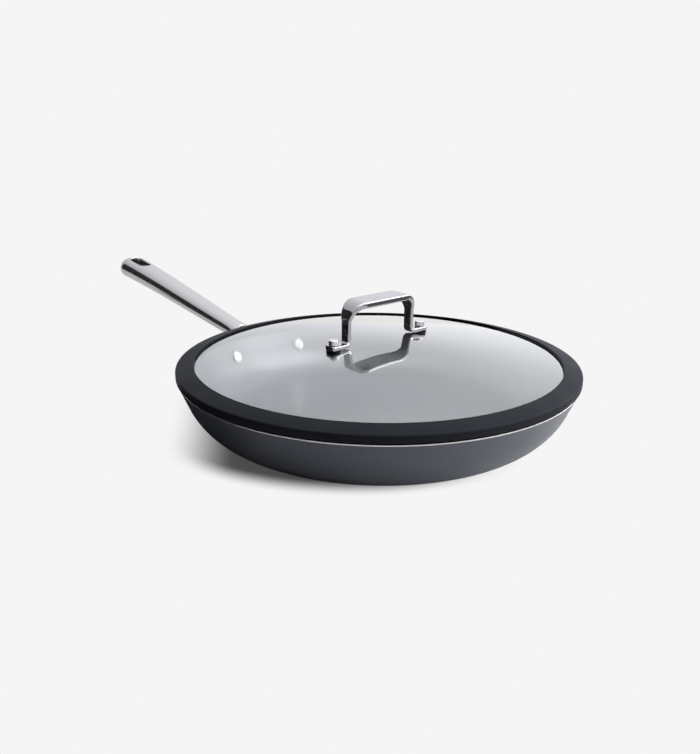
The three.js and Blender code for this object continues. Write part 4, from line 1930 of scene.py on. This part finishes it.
@dataclass
class LidFasteners:
    """Screws, washers and gaskets of the lid's handle, whose solids keep their shape."""

    ends: tuple[str, ...] = ("near", "far")

    def dress(self, effects: Effects) -> None:
        """Gives the solids their finishes.

        Args:
            effects: The shared effects.
        """
        steel, soft = SCREW_STEEL.make(effects), GASKET_SILICONE.make(effects)
        finishes = {"lid_screw": steel, "washer": steel, "upper_gasket": soft, "lower_gasket": soft}
        for stem, material in finishes.items():
            for end in self.ends:
                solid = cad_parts[f"{stem}_{end}"]
                solid.data.materials.clear()
                solid.data.materials.append(material)
                LOG.info("%s keeps its solid", solid.name)


# The studio


class Run(Enum):
    """Level directions in which the edges of a card run."""

    TOWARD_CAMERA = "toward the camera"
    ACROSS_VIEW = "across the view"
    ALONG_HANDLE = "along the pan's handle"


@dataclass(frozen=True)
class Lamp:
    """A soft lamp: its place from the camera's side, its width and height, its power in watts.

    Metal and glass mirror the lamp only if it is mirrored.
    """

    name: str
    place: Triple
    size: Point
    power: float
    mirrored: bool = True


@dataclass(frozen=True)
class Card:
    """A dark card between two edges that run the same way, for metal and glass to mirror.

    The middles of both edges are given from the camera's side. A flag also keeps light off the pan.
    """

    name: str
    first: Triple
    last: Triple
    half_w: float
    run: Run = Run.TOWARD_CAMERA
    flag: bool = False


@dataclass
class Studio:
    """Pale floor, soft lamps, dark cards for the metal to mirror, and the camera. Lengths are in metres."""

    pale: float = 0.913
    floor_half: float = 4.0
    floor_grey: float = 0.84
    floor_gloss: float = 0.1
    matte: float = 0.9
    card_black: Colour = (0.015, 0.015, 0.016)
    mirrored_floor: Point = (0.2, 0.36)
    # Painted shadow zone: the floor shows its rendered shadow only inside these edges, painted lighter by
    # shadow_lift
    shadow_place: Triple = (-0.0208, -0.0624, 0.0)
    shadow_ends: Point = (0.1635, 0.189)
    shadow_left: Point = (0.1065, 0.163)
    shadow_right: Point = (0.0066, 0.1186)
    shadow_skew: float = 0.1
    shadow_lift: float = 0.07
    softbox_base: float = 1.1
    softbox_rise: float = 0.87
    softbox_lean: float = 1.05
    softbox_ends: Point = (1.0, 1.85)
    softbox_foot: Point = (0.6, 2.5)
    softbox_tint: Colour = (0.97, 0.985, 1.035)
    fill: float = 0.03
    lamp_aim: Triple = (0.0, 0.0, 0.04)
    camera_place: Triple = (-0.43709, 0.43928, 0.24341)
    camera_right: Triple = (-0.68297, -0.73042, 0.00652)
    camera_up: Triple = (0.23289, -0.20929, 0.94972)
    camera_near: float = 0.01
    focal_px: float = 855.02
    sensor_mm: float = 36.0
    lamps: tuple[Lamp, ...] = (
        Lamp("key_lamp", (1.29, 0.0, 1.53), (1.3, 1.3), 40),
        Lamp("edge_lamp", (1.65, -0.85, 0.85), (1.1, 1.3), 14),
        Lamp("top_lamp", (0.0, 0.0, 2.0), (1.3, 1.3), 10),
        Lamp("side_lamp", (1.7, 0.2, 0.45), (1.0, 0.8), 34, mirrored=False),
    )
    cards: tuple[Card, ...] = (
        Card("left_card", (-1.1, 0.5, 0.0), (-1.1, 0.5, 0.78), 1.2),
        Card("camera_card", (-0.3, 1.5, 0.0), (-0.3, 1.5, 0.8), 1.4, Run.ACROSS_VIEW),
        Card("left_floor_card", (-0.17, 0.27, 0.001), (-1.1, 0.27, 0.001), 0.33, flag=True),
        Card("back_floor_card", (-0.36, -0.17, 0.001), (-1.1, -0.17, 0.001), 0.13, Run.ALONG_HANDLE),
        Card("near_floor_card", (-0.1, 0.02, 0.001), (-0.17, 0.02, 0.001), 0.09),
        Card("right_floor_card", (0.27, 0.0, 0.001), (0.9, 0.0, 0.001), 0.3),
    )

    @property
    def toward(self) -> Vector:
        """Level direction from the object to the camera."""
        return Vector((self.camera_place[0], self.camera_place[1], 0)).normalized()

    @property
    def rightward(self) -> Vector:
        """Level direction to the camera's right."""
        return Vector((self.camera_right[0], self.camera_right[1], 0)).normalized()

    def direction(self, run: Run) -> Vector:
        """Level direction in which the edges of a card run."""
        directions = {
            Run.TOWARD_CAMERA: self.toward,
            Run.ACROSS_VIEW: self.rightward,
            Run.ALONG_HANDLE: Vector(HANDLE_SIDE),
        }
        return directions[run]

    def spot(self, right: float, toward: float, up: float) -> Vector:
        """A place given from the camera's side of the object.

        Args:
            right: Metres to the camera's right.
            toward: Metres towards the camera.
            up: Metres above the floor.

        Returns:
            The place.
        """
        return self.rightward * right + self.toward * toward + Vector((0, 0, up))

    def place_camera(self) -> None:
        """Places the camera at the photograph's view.

        The picture is taller than wide, so the sensor's width spans its height.
        """
        lens = bpy.data.cameras.new("photo_camera")
        lens.sensor_width = self.sensor_mm
        lens.lens = self.focal_px / IMAGE_HEIGHT_PX * self.sensor_mm
        lens.clip_start = self.camera_near
        camera = bpy.data.objects.new("photo_camera", lens)
        right, up = Vector(self.camera_right), Vector(self.camera_up)
        turn = Matrix((right, up, right.cross(up))).transposed().to_4x4()
        camera.matrix_world = Matrix.Translation(Vector(self.camera_place)) @ turn
        bpy.context.scene.collection.objects.link(camera)
        bpy.context.scene.camera = camera

    def light_world(self) -> None:
        """Pale background for the eye, metal and glass, and a soft fill for the rest."""
        world = bpy.data.worlds.new("pale_studio")
        bpy.context.scene.world = world
        world.use_nodes = True
        world.node_tree.nodes.clear()
        wiring = Wiring(world.node_tree)
        path = wiring.add("LightPath").outputs
        fill = wiring.add("Background")
        wiring.feed(fill.inputs["Color"], (1, 1, 1))
        wiring.feed(fill.inputs["Strength"], self.fill)
        pale = wiring.add("Background")
        mirrored = wiring.mirrored(path)
        tinted = tuple(self.pale * share for share in self.softbox_tint)
        wiring.link(wiring.blend(mirrored, (self.pale,) * 3, tinted), pale.inputs["Color"])
        outward = wiring.add("TexCoord").outputs["Generated"]
        wiring.link(self.softbox(wiring, outward, mirrored), pale.inputs["Strength"])
        seen = wiring.math("MAXIMUM", path["Is Camera Ray"], path["Is Glossy Ray"])
        seen = wiring.math("MAXIMUM", seen, path["Is Transmission Ray"])
        light = wiring.choose(seen, fill.outputs["Background"], pale.outputs["Background"])
        wiring.link(light, wiring.add("OutputWorld").inputs["Surface"])

    def softbox(self, wiring: Wiring, outward: bpy.types.NodeSocket,
                mirrored: bpy.types.NodeSocket) -> bpy.types.NodeSocket:
        """Strength of what is far off: plain for the eye, brighter to the upper right where it is mirrored.

        Args:
            wiring: The node tree of the world or floor.
            outward: Direction in which it lies.
            mirrored: Where a surface mirrors it.

        Returns:
            The strength.
        """
        bright_side = self.rightward * self.softbox_lean + Vector((0, 0, self.softbox_rise))
        low, high = self.softbox_ends
        bright = wiring.math("ADD", wiring.along(outward, bright_side), self.softbox_base)
        bright = wiring.math("MINIMUM", wiring.math("MAXIMUM", bright, low), high)
        extra = wiring.math("MULTIPLY", wiring.math("SUBTRACT", bright, 1.0), mirrored)
        return wiring.math("ADD", extra, 1.0)

    def beyond(self, wiring: Wiring, place: Vector, ends: Point) -> bpy.types.NodeSocket:
        """A mask that is 0 near a place on the floor and 1 far from it.

        Args:
            wiring: The floor's node tree.
            place: The place.
            ends: Radii up to which the mask is 0 and from which it is 1.

        Returns:
            The mask's socket.
        """
        shift = wiring.vector("SUBTRACT", wiring.place(), place).outputs["Vector"]
        return wiring.spread(wiring.vector("LENGTH", shift).outputs["Value"], ends)

    def short_of(self, wiring: Wiring, direction: Vector, ends: Point) -> bpy.types.NodeSocket:
        """A mask that is 1 up to a line on the floor and 0 beyond a second line.

        Args:
            wiring: The floor's node tree.
            direction: Direction from the middle of the floor to the lines.
            ends: Distances of the two lines.

        Returns:
            The mask's socket.
        """
        return wiring.spread(wiring.along(wiring.place(), direction), ends, (1.0, 0.0))

    def clear_of_shadow(self, wiring: Wiring) -> bpy.types.NodeSocket:
        """How clear the floor is of the pan's shadow: a painted mask, sharp in front and soft at the left.

        Args:
            wiring: The floor's node tree.

        Returns:
            The mask's socket.
        """
        front = self.beyond(wiring, self.spot(*self.shadow_place), self.shadow_ends)
        leftward = (self.toward * self.shadow_skew - self.rightward).normalized()
        dark = wiring.math("SUBTRACT", 1.0, front)
        dark = wiring.math("MULTIPLY", dark, self.short_of(wiring, leftward, self.shadow_left))
        dark = wiring.math("MULTIPLY", dark, self.short_of(wiring, self.rightward, self.shadow_right))
        return wiring.math("SUBTRACT", 1.0, wiring.math("MULTIPLY", dark, 1 - self.shadow_lift))

    def floor_material(self) -> bpy.types.Material:
        """A pale floor that shows the rendered shadow only in a painted zone near the object, and the
        background beyond.

        It is clear from below, so that the base can be seen.

        Returns:
            The material.
        """
        shader = Shader("pale_floor")
        shader.hold(Base_Color=(self.floor_grey,) * 3, Roughness=self.matte)
        shader.hold(Specular_IOR_Level=self.floor_gloss)
        wiring = shader.wiring
        path = wiring.add("LightPath").outputs
        middle = Vector((0, 0, 0))
        plain = wiring.add("Emission")
        wiring.feed(plain.inputs["Color"], (self.pale,) * 3)
        outward = wiring.vector("NORMALIZE", wiring.place()).outputs["Vector"]
        far_off = self.beyond(wiring, middle, self.softbox_foot)
        bounced = wiring.math("MULTIPLY", wiring.mirrored(path), far_off)
        wiring.link(self.softbox(wiring, outward, bounced), plain.inputs["Strength"])
        eye = wiring.math("MULTIPLY", self.clear_of_shadow(wiring), path["Is Camera Ray"])
        passed = wiring.math("MAXIMUM", path["Is Glossy Ray"], path["Is Transmission Ray"])
        passed = wiring.math("MULTIPLY", self.beyond(wiring, middle, self.mirrored_floor), passed)
        share = wiring.math("MAXIMUM", eye, passed)
        above = wiring.choose(share, shader.main.outputs["BSDF"], plain.outputs["Emission"])
        below = wiring.add("BsdfTransparent").outputs["BSDF"]
        shader.surface(wiring.choose(wiring.add("NewGeometry").outputs["Backfacing"], above, below))
        return shader.material

    def lay_floor(self) -> None:
        """Lays the floor under the object."""
        half = self.floor_half / MM
        corners = [Vector((x * half, y * half, 0)) for x, y in ((-1, -1), (1, -1), (1, 1), (-1, 1))]
        floor = mesh_object("studio_floor", corners, [(0, 1, 2, 3)])
        floor.data.materials.append(self.floor_material())

    def hang_lamp(self, lamp: Lamp) -> None:
        """Hangs a lamp that looks at the pan.

        Args:
            lamp: The lamp.
        """
        light = bpy.data.lights.new(lamp.name, "AREA")
        light.shape = "RECTANGLE"
        light.size, light.size_y = lamp.size
        light.energy = lamp.power
        hung = bpy.data.objects.new(lamp.name, light)
        hung.location = self.spot(*lamp.place)
        hung.visible_glossy = lamp.mirrored
        aim = Vector(self.lamp_aim) - self.spot(*lamp.place)
        hung.rotation_euler = aim.to_track_quat("-Z", "Y").to_euler()
        bpy.context.scene.collection.objects.link(hung)

    def place_card(self, card: Card) -> None:
        """Places a dark card, which the camera doesn't see.

        Args:
            card: The card.
        """
        reach = self.direction(card.run) * card.half_w
        middles = (self.spot(*card.first), self.spot(*card.last))
        corners = [(middle + reach * end) / MM for middle in middles for end in (-1, 1)]
        placed = mesh_object(card.name, corners, [(0, 1, 3, 2)])
        shader = Shader(f"{card.name}_black")
        shader.hold(Base_Color=self.card_black, Roughness=self.matte)
        placed.data.materials.append(shader.material)
        placed.visible_camera = placed.visible_shadow = placed.visible_transmission = False
        placed.visible_diffuse = card.flag

    def build(self) -> None:
        """Sets up the whole studio."""
        self.place_camera()
        self.light_world()
        self.lay_floor()
        for lamp in self.lamps:
            self.hang_lamp(lamp)
        for card in self.cards:
            self.place_card(card)
        bpy.context.scene.view_settings.view_transform = "Standard"


def write_sizes() -> None:
    """Updates the view layer."""
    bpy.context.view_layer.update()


def main() -> None:
    """Builds the studio and every sub-assembly in order."""
    logging.basicConfig(level=logging.INFO, format="%(message)s")
    Studio().build()
    effects = build_effects()
    shell = PanShell()
    rivets = Rivets(shell)
    shell.dress(effects, rivets.holes())
    rivets.dress(effects)
    PanHandle(shell, rivets).dress(effects)
    glass = LidGlass(shell)
    handle = LidHandle(glass)
    glass.dress(effects, handle.holes(glass.hole_r))
    LidBand(shell, glass).dress(effects)
    handle.dress(effects)
    LidFasteners().dress(effects)
    write_sizes()


if __name__ == "__main__":
    main()
